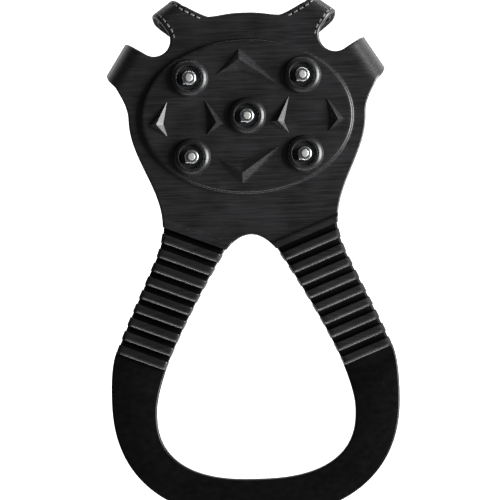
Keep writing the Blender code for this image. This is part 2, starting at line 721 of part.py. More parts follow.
def build_loop(rubber):
    outer, inner = loop_edges()
    right = [loop_section(*pair) for pair in zip(outer, inner)]
    left = [[Vector((-point.x, point.y, point.z)) for point in section] for section in right[-2::-1]]
    bm = bmesh.new()
    loft(bm, right + left)
    bmesh.ops.triangulate(bm, faces=bm.faces)
    return add_object("heel_loop", bm, rubber)


def main():
    clear_scene()
    rubber = make_material("rubber", (0.02, 0.02, 0.021), 0.5, 0.0)
    steel = make_material("plated_steel", (0.6, 0.6, 0.6), 0.3, 1.0)
    carbide = make_material("carbide", (0.4, 0.4, 0.4), 0.45, 1.0)
    build_heel_plate(rubber)
    for label, place in STUD_PLACES.items():
        build_insert(label, place, steel)
        build_spike(label, place, steel)
        build_pin(label, place, carbide)
    build_strap("strap_left", -1, rubber)
    build_strap("strap_right", 1, rubber)
    build_loop(rubber)


main()
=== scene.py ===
"""Looks of a slip-on ice cleat for the heel of a shoe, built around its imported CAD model.

The cleat lies on its back: studs up (+Z), hooks to +Y, the loop for the back of the shoe to -Y.
Lengths are in metres. Flat shapes are drawn about the centre of the studded pad.
"""
import math

import bmesh
import bpy
import numpy as np
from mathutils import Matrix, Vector, kdtree
from mathutils.geometry import delaunay_2d_cdt


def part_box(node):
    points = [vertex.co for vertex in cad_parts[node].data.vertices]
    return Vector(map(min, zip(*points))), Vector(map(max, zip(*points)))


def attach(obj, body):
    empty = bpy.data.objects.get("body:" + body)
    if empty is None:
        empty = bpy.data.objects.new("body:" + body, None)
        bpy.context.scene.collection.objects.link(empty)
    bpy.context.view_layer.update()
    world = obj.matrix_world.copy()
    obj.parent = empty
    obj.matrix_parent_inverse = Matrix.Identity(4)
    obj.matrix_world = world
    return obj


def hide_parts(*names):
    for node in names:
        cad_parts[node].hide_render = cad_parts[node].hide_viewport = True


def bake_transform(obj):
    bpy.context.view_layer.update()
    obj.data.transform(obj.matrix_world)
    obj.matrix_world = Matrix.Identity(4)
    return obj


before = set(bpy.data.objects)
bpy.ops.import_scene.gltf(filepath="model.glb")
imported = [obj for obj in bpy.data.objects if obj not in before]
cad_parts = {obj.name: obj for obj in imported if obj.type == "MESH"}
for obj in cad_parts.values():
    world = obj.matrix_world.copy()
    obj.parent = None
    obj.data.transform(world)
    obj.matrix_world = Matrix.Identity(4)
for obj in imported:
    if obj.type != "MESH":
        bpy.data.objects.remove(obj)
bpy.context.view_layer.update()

# ------------------------------------------------------------------ flanged inserts
# Five turned steel cups are moulded into the rubber, and the spikes are set into them.
# Zinc plating keeps them bright; only their flanges show, from the shoe side. They stay as the
# CAD has them and take the plated finish.

MM = 0.001
LABELS = ("center", "front_left", "front_right", "rear_left", "rear_right")


def linear(hex_color):
    """A colour written as sRGB hex, as the shaders need it."""
    values = [int(hex_color[start:start + 2], 16) / 255 for start in (1, 3, 5)]
    return [v / 12.92 if v <= 0.04045 else ((v + 0.055) / 1.055) ** 2.4 for v in values] + [1.0]


def add_node(tree, kind, inputs=(), **settings):
    """Add a node; inputs gives each named or numbered socket a value or another node's output."""
    node = tree.nodes.new(kind)
    for name, value in settings.items():
        setattr(node, name, value)
    for key, value in dict(inputs).items():
        if isinstance(value, bpy.types.NodeSocket):
            tree.links.new(value, node.inputs[key])
        else:
            node.inputs[key].default_value = value
    return node


def combined(tree, operation, *values):
    """The output of a math node, from values and other nodes' outputs."""
    return add_node(tree, "ShaderNodeMath", dict(enumerate(values)), operation=operation).outputs[0]


def spread(tree, value, low, high, first=0.0, last=1.0):
    """An output that runs from first to last while the value runs from low to high."""
    return add_node(tree, "ShaderNodeMapRange", {"Value": value, "From Min": low, "From Max": high,
                                                 "To Min": first, "To Max": last}).outputs[0]


def noise_at(tree, place, scale, detail=2.0, roughness=0.5):
    return add_node(tree, "ShaderNodeTexNoise", {"Vector": place, "Scale": scale, "Detail": detail,
                                                 "Roughness": roughness}).outputs["Fac"]


def surface_tree(name):
    """A new material's node tree with its shader and the object's coordinates in millimetres."""
    material = bpy.data.materials.new(name)
    material.use_nodes = True
    tree = material.node_tree
    place = add_node(tree, "ShaderNodeTexCoord")
    in_mm = add_node(tree, "ShaderNodeVectorMath", {0: place.outputs["Object"], "Scale": 1 / MM},
                     operation="SCALE")
    return material, tree, tree.nodes["Principled BSDF"], in_mm.outputs[0]


def fill_surface(tree, shader, dark, light, share, gloss, height, strength, depth):
    """Connect the surface's mixed colour, its gloss and its bump."""
    color = add_node(tree, "ShaderNodeMix", {0: share, 6: linear(dark), 7: linear(light)}, data_type="RGBA")
    bump = add_node(tree, "ShaderNodeBump", {"Height": height, "Strength": strength, "Distance": depth})
    for name, value in (("Base Color", color.outputs[2]), ("Roughness", gloss), ("Normal", bump.outputs[0])):
        tree.links.new(value, shader.inputs[name])


def metal_finish(name, dark, light, smooth, rough, grain, bump_height):
    """A metal whose grain, in millimetres, mottles its colour, its gloss and its surface."""
    material, tree, shader, place = surface_tree(name)
    shader.inputs["Metallic"].default_value = 1.0
    noise = noise_at(tree, place, 1 / grain, detail=3.0)
    share = spread(tree, noise, 0.35, 0.65)
    gloss = spread(tree, noise, 0.35, 0.65, rough, smooth)
    fill_surface(tree, shader, dark, light, share, gloss, noise, 0.5, bump_height)
    return material


# Zinc-plated steel, barrel plated: bright blue-white, with a fine uneven bloom.
zinc_plate = metal_finish("zinc_plated_steel", "#9a9da1", "#d6d9dc", smooth=0.28, rough=0.42, grain=0.5,
                          bump_height=0.01 * MM)
for label in LABELS:
    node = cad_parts[f"insert_{label}"]
    node.data.materials.clear()
    node.data.materials.append(zinc_plate)

# ------------------------------------------------------------------ heel plate
# One press-moulded rubber plate: two hooks curl over the front of the heel, two tabs bend up beside
# it, and a raised oval carries the stud bosses and six moulded darts. Its surface keeps the fine
# parallel lines of the milled mould.

PLATE_THICKNESS = 2.6 * MM
TOP_EDGE_RADIUS = 0.5 * MM
BOTTOM_EDGE_RADIUS = 0.3 * MM
HOOK_EDGE_RADIUS = 0.9 * MM
# The edge grows from the plate's radius to the hook's between these distances along the hook.
HOOK_EDGE_SPAN = (26.0 * MM, 31.0 * MM)
FRONT_EDGE = 29.1 * MM
FRONT_DIP_X = 9.9 * MM
FRONT_DIP = 0.85 * MM
FRONT_DIP_POWER = 1.4
FRONT_SWEEP = 30.0
SHOULDER_HALF_WIDTH = 33.3 * MM
WAIST_HALF_WIDTH = 24.6 * MM
WAIST_Y = -30.0 * MM
HOLE_TOP_Y = -33.2 * MM

HOOK_DIRECTION = 54.1
HOOK_WIDTH = 7.3 * MM
HOOK_SHIFT = -0.45 * MM
HOOK_BEND_START = 34.6 * MM
HOOK_RADIUS = 4.3 * MM
HOOK_TURN = 195.0
HOOK_FLAP = 3.2 * MM
HOOK_TAPER_TURN = 150.0
HOOK_TIP_TAPER = 1.3 * MM
HOOK_SKEW = 0.23
HOOK_FLARE = 0.6 * MM
HOOK_FLARE_END = 1.3 * MM
NOTCH_RADIUS = 4.5 * MM

TAB_DIRECTION = 32.5
TAB_WIDTH = 11.0 * MM
TAB_FRONT = -0.4 * MM
TAB_BEND_START = 33.95 * MM
TAB_RADIUS = 5.5 * MM
TAB_TURN = 75.0
TAB_FLAP = 3.8 * MM
TAB_FLARE = 1.4 * MM
TAB_FILLET_START = 36.1 * MM
TAB_FILLET_DROP = 0.42
CORNER_RADIUS = 0.35 * MM

# Half the length and width of the raised oval under the studs, and of the seat under the heel.
OVAL = (29.7 * MM, 21.6 * MM)
SEAT = (26.0 * MM, 19.0 * MM)
# Sections of moulded steps in millimetres: how far inside the edge, and how high. The lip's runs back
# from the straps' root, and the boss's out from its axis: dish, rounded rim, wall, foot.
OVAL_SECTION = ((-0.4, 0.0), (-0.15, 0.04), (0.0, 0.2), (0.12, 0.72), (0.25, 0.98), (0.45, 1.14), (0.7, 1.2))
SEAT_SECTION = ((-0.15, 0.0), (0.0, 0.15), (0.15, 0.34), (0.4, 0.4))
LIP_SECTION = ((-1.0, 0.7), (1.5, 0.7), (1.8, 0.6), (2.1, 0.28), (2.3, 0.05), (2.45, 0.0))
BOSS_SECTION = ((2.9, 1.7), (3.1, 1.74), (3.25, 1.95), (3.35, 2.3), (3.45, 2.58), (3.6, 2.75), (3.8, 2.8),
                (3.95, 2.79), (4.05, 2.76), (4.15, 2.71), (4.4, 2.56), (4.65, 2.41), (4.75, 2.34),
                (4.85, 2.18), (5.0, 1.86), (5.15, 1.53), (5.3, 1.2))
DART_HEIGHT = 1.6 * MM
POCKET_RADIUS = 4.3 * MM
BORE_RADIUS = 1.9 * MM
STUD_X = 15.8 * MM
STUD_Y = 11.0 * MM

RIB_HEIGHT = 3.3 * MM
STRAP_ROOT = Vector((15.9, -33.8)) * MM
STRAP_SPLAY = 21.5
RIB_COUNT = 9
RIB_PITCH = 4.21 * MM
STRAP_ROOT_OUTER = 8.1 * MM
STRAP_END_OUTER = 10.0 * MM
STRAP_ROOT_INNER = 9.6 * MM
STRAP_END_INNER = 5.0 * MM
INNER_CURVE = 1.6
ROOT_FLARE = 1.25 * MM
ROOT_FLARE_LENGTH = 9.0 * MM

PAD_Y = (sum(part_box("insert_center"), Vector()) / 2).y
PLATE_TOP = 2 * HOOK_RADIUS
PLATE_BOTTOM = PLATE_TOP - PLATE_THICKNESS
STRAP_LENGTH = RIB_COUNT * RIB_PITCH
DISH_FLOOR = PLATE_TOP + 1.7 * MM
POCKET_CEILING = PLATE_BOTTOM + 0.9 * MM

# Channels with stitch-like dashes run just inside the hooks' edges.
CHANNEL_INSET = 1.25 * MM
CHANNEL_WIDTH = 0.6 * MM
CHANNEL_WALL = 0.12 * MM
CHANNEL_BANK = 0.15 * MM
CHANNEL_DEPTH = 0.3 * MM
CHANNEL_START = 30.2 * MM
CHANNEL_END = 43.0 * MM
CHANNEL_RUN_OUT = 0.4 * MM

# The net of triangles: rows of points follow each edge and step, and an even field fills the rest.
# The rows' places are in millimetres, like the sections.
FIELD_PITCH = 0.6 * MM
FIELD_ROW_PITCH = FIELD_PITCH * 0.866
FIELD_FROM_EDGE = 0.75 * MM
FIELD_FROM_ROWS = 0.38 * MM
ROW_PITCH = 0.5 * MM
ROW_FROM_EDGE = 0.03 * MM
ROW_SPACING = 0.07 * MM
EDGE_ROWS = (0.04, 0.12, 0.24, 0.4, 0.6, 0.8)
LIP_ROWS = (0.5, 1.0, 1.5, 1.8, 2.1, 2.3, 2.45)
BOSS_FOOT_ROW = 5.6
BOSS_STEPS = 72
OVAL_STEPS = 320
LIP_STEPS = 36


def heading(degrees):
    """Unit vectors along a direction in the plane, and square to it on its right."""
    angle = math.radians(degrees)
    return Vector((math.cos(angle), math.sin(angle))), Vector((math.sin(angle), -math.cos(angle)))


HOOK_OUT, HOOK_SIDE = heading(HOOK_DIRECTION)
TAB_OUT, TAB_SIDE = heading(TAB_DIRECTION)
STRAP_ALONG, STRAP_INWARD = heading(STRAP_SPLAY - 90)
STUD_PLACES = [(0.0, 0.0), (-STUD_X, STUD_Y), (STUD_X, STUD_Y), (-STUD_X, -STUD_Y), (STUD_X, -STUD_Y)]


def spaced(last, steps, first=0.0):
    """Evenly spaced values, with both ends."""
    return [first + (last - first) * step / steps for step in range(steps + 1)]


def bezier(start, control, end, steps):
    return [start * (1 - t) ** 2 + control * (2 * t * (1 - t)) + end * t ** 2 for t in spaced(1, steps)[1:]]


def ease(t):
    """0 to 1 with a level start and end."""
    return 0.5 - 0.5 * math.cos(math.pi * t)


def arc(center, radius, first, last, steps):
    return [center + Vector((math.cos(a), math.sin(a))) * radius
            for a in spaced(last, steps, first)]


def strap_inner(along):
    """The strap's inner edge from its middle line, at a distance from its root."""
    left = min(1.0, max(0.0, 1 - along / STRAP_LENGTH))
    return STRAP_END_INNER + (STRAP_ROOT_INNER - STRAP_END_INNER) * left ** INNER_CURVE


def strap_outer(along):
    t = min(1.0, max(0.0, along / STRAP_LENGTH))
    flare = ROOT_FLARE * max(0.0, 1 - max(0.0, along) / ROOT_FLARE_LENGTH) ** 2
    return STRAP_ROOT_OUTER + (STRAP_END_OUTER - STRAP_ROOT_OUTER) * t ** 2 * (3 - 2 * t) + flare


def strap_point(along, outward):
    return STRAP_ROOT + STRAP_ALONG * along - STRAP_INWARD * outward


def strip_end(out_axis, side_axis, end, low, high):
    """The rounded end of a flat strip, from its low side round to its high side."""
    reach = end - CORNER_RADIUS
    turn = math.atan2(side_axis.y, side_axis.x)
    near = arc(out_axis * reach + side_axis * (low + CORNER_RADIUS), CORNER_RADIUS,
               turn + math.pi, turn + math.pi / 2, 5)
    far = arc(out_axis * reach + side_axis * (high - CORNER_RADIUS), CORNER_RADIUS,
              turn + math.pi / 2, turn, 5)
    return near + far


def plate_outline():
    """The plate's outline, clockwise, with its hooks and tabs laid out straight."""
    front = [Vector((FRONT_DIP_X * t, FRONT_EDGE - FRONT_DIP * ease(t ** FRONT_DIP_POWER)))
             for t in spaced(1, 12)]
    low, high = HOOK_SHIFT - HOOK_WIDTH / 2, HOOK_SHIFT + HOOK_WIDTH / 2
    hook_end = HOOK_BEND_START + HOOK_RADIUS * math.radians(HOOK_TURN) + HOOK_FLAP
    root = HOOK_OUT * (HOOK_BEND_START + HOOK_FLARE_END) + HOOK_SIDE * (low - HOOK_FLARE)
    over = HOOK_OUT * (HOOK_BEND_START + HOOK_RADIUS * math.pi / 2) + HOOK_SIDE * low
    run = (root.y - front[-1].y) / math.tan(math.radians(FRONT_SWEEP))
    sweep = bezier(front[-1], Vector((root.x - run, front[-1].y)), root, 20)
    taper = HOOK_OUT * (HOOK_BEND_START + HOOK_RADIUS * math.radians(HOOK_TAPER_TURN)) + HOOK_SIDE * high
    hook = [over] + strip_end(HOOK_OUT, HOOK_SIDE, hook_end, low, high - HOOK_TIP_TAPER) + [taper]
    # The notch touches the hook's rear edge and the tab's front edge.
    beside = Vector((high + NOTCH_RADIUS, TAB_FRONT - NOTCH_RADIUS))
    span = HOOK_SIDE.x * TAB_SIDE.y - HOOK_SIDE.y * TAB_SIDE.x
    center = Vector((beside.x * TAB_SIDE.y - HOOK_SIDE.y * beside.y,
                     HOOK_SIDE.x * beside.y - beside.x * TAB_SIDE.x)) / span
    notch = arc(center, NOTCH_RADIUS, math.atan2(-HOOK_SIDE.y, -HOOK_SIDE.x),
                math.atan2(TAB_SIDE.y, TAB_SIDE.x) + 2 * math.pi, 30)
    tab_end = TAB_BEND_START + TAB_RADIUS * math.radians(TAB_TURN) + TAB_FLAP
    tab = strip_end(TAB_OUT, TAB_SIDE, tab_end, TAB_FRONT, TAB_FRONT + TAB_WIDTH)
    flare = TAB_OUT * TAB_FILLET_START + TAB_SIDE * (TAB_FRONT + TAB_WIDTH + TAB_FLARE)
    shoulder = Vector((SHOULDER_HALF_WIDTH, 0.0))
    fillet = bezier(flare, Vector((SHOULDER_HALF_WIDTH, flare.y * TAB_FILLET_DROP)), shoulder, 20)
    waist = [Vector((SHOULDER_HALF_WIDTH + (WAIST_HALF_WIDTH - SHOULDER_HALF_WIDTH) * ease(t), WAIST_Y * t))
             for t in spaced(1, 40)[1:]]
    outer, inner = strap_point(0.0, strap_outer(0.0)), strap_point(0.0, -strap_inner(0.0))
    hole = [Vector((inner.x * t, HOLE_TOP_Y + (inner.y - HOLE_TOP_Y) * t ** 2))
            for t in spaced(0, 20, first=1)[1:]]
    half = front + sweep + hook + notch + tab + [flare] + fillet + waist + [outer, inner] + hole
    corners = half + [Vector((-point.x, point.y)) for point in reversed(half[1:-1])]
    points = []
    for near, far in zip(corners, corners[1:] + corners[:1]):
        steps = max(1, math.ceil((far - near).length / ROW_PITCH))
        points += [near.lerp(far, step / steps) for step in range(steps)]
    return points


def to_array(points):
    return np.array([(point[0], point[1]) for point in points], float)


def distance_to(places, starts, ends):
    """Distance of each place from the nearest of the segments."""
    nearest = np.full(len(places), 1.0)
    for start, end in zip(starts, ends):
        run = end - start
        share = np.clip(((places - start) @ run) / (run @ run), 0.0, 1.0)
        gap = places - start - share[:, None] * run
        nearest = np.minimum(nearest, np.hypot(gap[:, 0], gap[:, 1]))
    return nearest


def inside(places, ring):
    """Which places lie inside the ring, by counting the edges to their right."""
    odd = np.zeros(len(places), bool)
    for (x0, y0), (x1, y1) in zip(ring, np.roll(ring, -1, axis=0)):
        crosses = (y0 > places[:, 1]) != (y1 > places[:, 1])
        if crosses.any():
            x = x0 + (places[:, 1] - y0) * (x1 - x0) / (y1 - y0 + 1e-15)
            odd ^= crosses & (places[:, 0] < x)
    return odd


def from_root(places):
    """How far each place lies behind the strap's root line, on either side of the plate."""
    x, y = np.abs(places[:, 0]) - STRAP_ROOT.x, places[:, 1] - STRAP_ROOT.y
    return -(x * STRAP_ALONG.x + y * STRAP_ALONG.y)


def on_hook(places):
    """How far each place lies along the hook's direction, and square to it, on either hook."""
    x, y = np.abs(places[:, 0]), places[:, 1]
    return x * HOOK_OUT.x + y * HOOK_OUT.y, x * HOOK_SIDE.x + y * HOOK_SIDE.y


def oval_inset(places, oval):
    """About how far each place lies inside an ellipse."""
    share = np.hypot(places[:, 0] / oval[0], places[:, 1] / oval[1])
    slope = np.hypot(places[:, 0] / oval[0] ** 2, places[:, 1] / oval[1] ** 2) / np.maximum(share, 1e-9)
    return (1 - share) / np.maximum(slope, 1e-9)


# Dart corners from the pad centre, in millimetres: tip, other tip, outer bend, ridge, inner bend.
SIDE_DART = ((22.2, 4.7), (22.4, -5.2), (27.3, -1.8), (25.4, -1.7), (23.5, -1.5))
INNER_DART = ((11.9, 5.2), (11.6, -5.1), (6.6, -1.8), (8.6, -1.6), (10.3, -1.7))
END_DART = ((-8.5, 11.6), (8.7, 8.7), (-1.8, 18.9), (-1.8, 15.9), (-1.8, 12.8))
DARTS = [np.array(dart) * MM * (sign, 1) for dart in (SIDE_DART, INNER_DART) for sign in (-1, 1)]
DARTS += [np.array(END_DART) * MM * (1, sign) for sign in (-1, 1)]


def dart_sides(dart):
    """A dart's ridge and the four sides of its outline."""
    tip, other_tip, outer, ridge, inner = dart
    return ridge, [(tip, outer), (outer, other_tip), (other_tip, inner), (inner, tip)]


def dart_height(places):
    """Four plane facets rise from each dart's outline to its ridge."""
    height = np.zeros(len(places))
    for ridge, sides in map(dart_sides, DARTS):
        for start, end in sides:
            facet = np.array((start - ridge, end - ridge)).T
            shares = (places - ridge) @ np.linalg.inv(facet).T
            total = shares.sum(axis=1)
            within = (shares.min(axis=1) > -1e-6) & (total < 1)
            height[within] = np.maximum(height[within], DART_HEIGHT * (1 - total[within]))
    return height


def step_height(section, distance):
    """Height of a moulded step at a distance in metres."""
    reach, levels = np.array(section).T * MM
    return np.interp(distance, reach, levels)


def top_level(places, edge_distance):
    """Height of the moulded surface on the stud side."""
    level = step_height(OVAL_SECTION, oval_inset(places, OVAL)) + dart_height(places)
    for center in STUD_PLACES:
        distance = np.hypot(*(places - center).T)
        near = distance < BOSS_SECTION[-1][0] * MM
        level[near] = step_height(BOSS_SECTION, distance[near])
    level = np.maximum(level, step_height(LIP_SECTION, from_root(places)))
    level -= channel_depth(places, edge_distance)
    out, side = on_hook(places)
    rolled = np.interp(out, HOOK_EDGE_SPAN, [0, 1]) * (side > 0) * (side < HOOK_WIDTH)
    radius = TOP_EDGE_RADIUS + (HOOK_EDGE_RADIUS - TOP_EDGE_RADIUS) * rolled
    left = np.clip(radius - edge_distance, 0, radius)
    return PLATE_TOP + level - radius + np.sqrt(radius ** 2 - left ** 2)


def channel_depth(places, edge_distance):
    out, side = on_hook(places)
    half = CHANNEL_WIDTH / 2
    across = np.interp(np.abs(edge_distance - CHANNEL_INSET), [half - CHANNEL_WALL, half], [1, 0])
    along = np.interp(out, [CHANNEL_START - CHANNEL_RUN_OUT, CHANNEL_START, CHANNEL_END,
                            CHANNEL_END + CHANNEL_RUN_OUT], [0, 1, 1, 0])
    return CHANNEL_DEPTH * across * along * (side < HOOK_SHIFT + HOOK_WIDTH)


def bottom_level(places, edge_distance):
    """Height of the shoe side, with the raised seat under the heel."""
    seat = step_height(SEAT_SECTION, oval_inset(places, SEAT))
    left = np.clip(BOTTOM_EDGE_RADIUS - edge_distance, 0, BOTTOM_EDGE_RADIUS)
    return PLATE_BOTTOM - seat + BOTTOM_EDGE_RADIUS - np.sqrt(BOTTOM_EDGE_RADIUS ** 2 - left ** 2)


def curl(out, side, depth, start, radius, turn_degrees, skew):
    """Where a point of the flat strip goes when the strip is curled round a cylinder."""
    angle = min((out - start) / radius, math.radians(turn_degrees))
    straight = out - start - radius * angle
    new_out = start + (radius - depth) * math.sin(angle) + straight * math.cos(angle)
    new_depth = radius - (radius - depth) * math.cos(angle) + straight * math.sin(angle)
    return new_out, side + skew * (new_depth - depth), new_depth


BENDS = ((HOOK_OUT, HOOK_SIDE, HOOK_BEND_START, HOOK_RADIUS, HOOK_TURN, HOOK_SKEW,
          HOOK_SHIFT - HOOK_WIDTH, HOOK_SHIFT + HOOK_WIDTH),
         (TAB_OUT, TAB_SIDE, TAB_BEND_START, TAB_RADIUS, TAB_TURN, 0.0,
          TAB_FRONT - NOTCH_RADIUS / 2, TAB_FRONT + TAB_WIDTH + NOTCH_RADIUS))


def bend_point(x, y, z):
    """Move a point of the flat moulding to its place on the curled hook or bent tab."""
    flat = Vector((abs(x), y))
    depth = PLATE_TOP - z
    for out_axis, side_axis, start, radius, turn, skew, low, high in BENDS:
        out, side = out_axis.dot(flat), side_axis.dot(flat)
        if out > start and low < side < high:
            out, side, depth = curl(out, side, depth, start, radius, turn, skew)
            flat = out_axis * out + side_axis * side
            break
    return Vector((math.copysign(flat.x, x), flat.y + PAD_Y, PLATE_TOP - depth))


def circle_rows(center, radii):
    """Rings of points about a stud, all at the same angles."""
    spokes = [Vector((math.cos(a), math.sin(a))) for a in spaced(2 * math.pi, BOSS_STEPS)[:-1]]
    return [[Vector(center) + spoke * radius for spoke in spokes] for radius in radii]


def inset_point(outline, index, inset):
    """One point of the outline, moved inwards square to it."""
    tangent = outline[(index + 1) % len(outline)] - outline[index - 1]
    return outline[index] + Vector((tangent.y, -tangent.x)).normalized() * inset


def plate_mesh():
    """One skin for the whole moulding: a dense net of triangles that follows every feature."""
    outline = plate_outline()
    ring = to_array(outline)
    on_root = np.abs(from_root(ring)) < 1e-6
    ends = np.roll(ring, -1, axis=0)
    free = ~(on_root & np.roll(on_root, -1))
    points = list(outline)
    edges = [(i, (i + 1) % len(outline)) for i in range(len(outline))]

    def add_loop(row, closed=True):
        first = len(points)
        points.extend(row)
        edges.extend((first + i, first + i + 1) for i in range(len(row) - 1))
        if closed:
            edges.append((first + len(row) - 1, first))

    for center in STUD_PLACES:
        for row in circle_rows(center, (BORE_RADIUS, POCKET_RADIUS)):
            add_loop(row)
    for ridge, sides in map(dart_sides, DARTS):
        for start, end in sides + [(ridge, corner) for corner, _ in sides]:
            steps = max(2, math.ceil(np.hypot(*(end - start)) / ROW_PITCH))
            add_loop([Vector(start).lerp(Vector(end), step / steps) for step in range(steps + 1)], False)

    loose = [inset_point(outline, index, inset * MM) for inset in EDGE_ROWS for index in range(len(outline))]

    def beside_hook(point):
        flat = Vector((abs(point.x), point.y))
        return (CHANNEL_START - MM < HOOK_OUT.dot(flat) < CHANNEL_END + MM
                and HOOK_SIDE.dot(flat) < 2 * NOTCH_RADIUS)

    half = CHANNEL_WIDTH / 2
    for shift in (-half, -half + CHANNEL_WALL, 0.0, half - CHANNEL_WALL, half, half + CHANNEL_BANK):
        loose += [inset_point(outline, index, CHANNEL_INSET + shift)
                  for index, point in enumerate(outline) if beside_hook(point)]
    for center in STUD_PLACES:
        for row in circle_rows(center, [radius * MM for radius, _ in BOSS_SECTION] + [BOSS_FOOT_ROW * MM]):
            if abs((row[0] - Vector(center)).length - POCKET_RADIUS) > 0.1 * MM:
                loose += row
    for oval, section in ((OVAL, OVAL_SECTION), (SEAT, SEAT_SECTION)):
        for inset, _ in section:
            loose += [Vector(((oval[0] - inset * MM) * math.cos(a), (oval[1] - inset * MM) * math.sin(a)))
                      for a in spaced(2 * math.pi, OVAL_STEPS)[:-1]]
    for behind in LIP_ROWS:
        for sign in (-1, 1):
            for step in range(1, LIP_STEPS):
                outward = -strap_inner(0.0) + (strap_inner(0.0) + strap_outer(0.0)) * step / LIP_STEPS
                flat = strap_point(-behind * MM, outward)
                loose.append(Vector((sign * flat.x, flat.y)))
    half_x = ring[:, 0].max()
    rows = np.arange(ring[:, 1].min(), ring[:, 1].max(), FIELD_ROW_PITCH)
    grid = [(x + (index % 2) * FIELD_PITCH / 2, y) for index, y in enumerate(rows)
            for x in np.arange(-half_x, half_x, FIELD_PITCH)]

    def well_inside(places, margin):
        places = places[inside(places, ring)]
        return places[distance_to(places, ring, ends) > margin]

    taken = to_array(points)
    taken = np.vstack((taken, thin_out(well_inside(to_array(loose), ROW_FROM_EDGE), taken, ROW_SPACING)))
    field = thin_out(well_inside(np.array(grid), FIELD_FROM_EDGE), taken, FIELD_FROM_ROWS)
    coords = [Vector(p) for p in np.vstack((taken, field))]
    flat_points, _, triangles, origins, _, _ = delaunay_2d_cdt(coords, edges, [], 0, 1e-8, True)
    flat = to_array(flat_points)
    distance = distance_to(flat, ring[free], ends[free])
    top, bottom = top_level(flat, distance), bottom_level(flat, distance)
    index_of = {source: index for index, sources in enumerate(origins) for source in sources}
    count = len(flat)
    corners = np.array(triangles)
    corners = corners[inside(flat[corners].mean(axis=1), ring)]
    middle = flat[corners].mean(axis=1)
    nearest = np.min([np.hypot(*(middle - center).T) for center in STUD_PLACES], axis=0)
    spin = np.cross(flat[corners[:, 1]] - flat[corners[:, 0]], flat[corners[:, 2]] - flat[corners[:, 0]])
    corners[spin < 0] = corners[spin < 0][:, ::-1]
    faces = [tuple(face) for face in corners[nearest > BORE_RADIUS]]
    faces += [tuple(face[::-1] + count) for face in corners[nearest > POCKET_RADIUS]]
    verts = [bend_point(x, y, z) for (x, y), z in zip(flat, top)]
    verts += [bend_point(x, y, z) for (x, y), z in zip(flat, bottom)]
    rim = [index_of[i] for i in range(len(outline))]
    faces += [(a, b, b + count, a + count) for a, b in zip(rim, rim[1:] + rim[:1])]
    # Each insert's pocket: the wide wall, the ceiling over the flange, and the bore up to the dish.
    start = len(outline)
    for center in STUD_PLACES:
        narrow, wide = circle_rows(center, (BORE_RADIUS, POCKET_RADIUS))
        bore = [index_of[start + i] for i in range(BOSS_STEPS)]
        mouth = [index_of[start + BOSS_STEPS + i] + count for i in range(BOSS_STEPS)]
        start += 2 * BOSS_STEPS
        rings = [mouth]
        for row in (wide, narrow):
            rings.append(range(len(verts), len(verts) + BOSS_STEPS))
            verts += [Vector((p.x, p.y + PAD_Y, POCKET_CEILING)) for p in row]
        rings.append(bore)
        for near, far in zip(rings, rings[1:]):
            faces += [(near[i], near[(i + 1) % BOSS_STEPS], far[(i + 1) % BOSS_STEPS], far[i])
                      for i in range(BOSS_STEPS)]
    return verts, faces


def thin_out(candidates, taken, gap):
    """Candidates that keep a gap to the points already taken and to each other."""
    tree = kdtree.KDTree(len(taken))
    for index, place in enumerate(taken):
        tree.insert((place[0], place[1], 0.0), index)
    tree.balance()
    kept = []
    cells = set()
    for place in candidates:
        cell = (round(place[0] / gap), round(place[1] / gap))
        if cell in cells or tree.find((place[0], place[1], 0.0))[2] < gap:
            continue
        cells.add(cell)
        kept.append(place)
    return np.array(kept)


def new_mesh(name, verts, faces, edges=()):
    mesh = bpy.data.meshes.new(name)
    mesh.from_pydata([tuple(vert) for vert in verts], edges, faces)
    return mesh


def shade(mesh, sharp_degrees):
    """Smooth shading that stops at edges sharper than an angle."""
    mesh.shade_smooth()
    mesh.set_sharp_from_angle(angle=math.radians(sharp_degrees))


def new_object(name, data):
    """An object in the scene."""
    item = bpy.data.objects.new(name, data)
    bpy.context.scene.collection.objects.link(item)
    return item


def add_piece(name, verts, faces, material, sharp_degrees):
    """A finished mesh at the origin, with its faces pointing out."""
    mesh = new_mesh(name, verts, faces)
    bm = bmesh.new()
    bm.from_mesh(mesh)
    bmesh.ops.delete(bm, geom=[vert for vert in bm.verts if not vert.link_faces], context="VERTS")
    bmesh.ops.recalc_face_normals(bm, faces=bm.faces)
    bm.to_mesh(mesh)
    bm.free()
    shade(mesh, sharp_degrees)
    mesh.materials.append(material)
    return new_object(name, mesh)


# Patches of about 8 mm are a little paler, and grit of a third of a millimetre roughens the rubber.
CLOUDS_PER_MM = 0.12
GRIT_PER_MM = 3.0


def rubber_finish(name, dark, light, smooth, rough, line_depth, line_pitch, line_length, shine=0.5):
    """Black moulded rubber; the mould's milling lines run along X, at a pitch in millimetres."""
    material, tree, shader, place = surface_tree(name)
    shader.inputs["Specular IOR Level"].default_value = shine
    shader.inputs["IOR"].default_value = 1.5
    per_mm = (1 / line_length, 1 / line_pitch, 1 / line_pitch)
    stretched = add_node(tree, "ShaderNodeVectorMath", {0: place, 1: per_mm}, operation="MULTIPLY")
    lines = noise_at(tree, stretched.outputs[0], 1.0, detail=3.0, roughness=0.6)
    clouds = noise_at(tree, place, CLOUDS_PER_MM)
    grit = noise_at(tree, place, GRIT_PER_MM)
    share = spread(tree, combined(tree, "ADD", lines, clouds), 0.75, 1.25)
    gloss = spread(tree, lines, 0.3, 0.7, smooth, rough)
    height = combined(tree, "MULTIPLY_ADD", grit, 0.35, lines)
    fill_surface(tree, shader, dark, light, share, gloss, height, 0.6, line_depth)
    return material


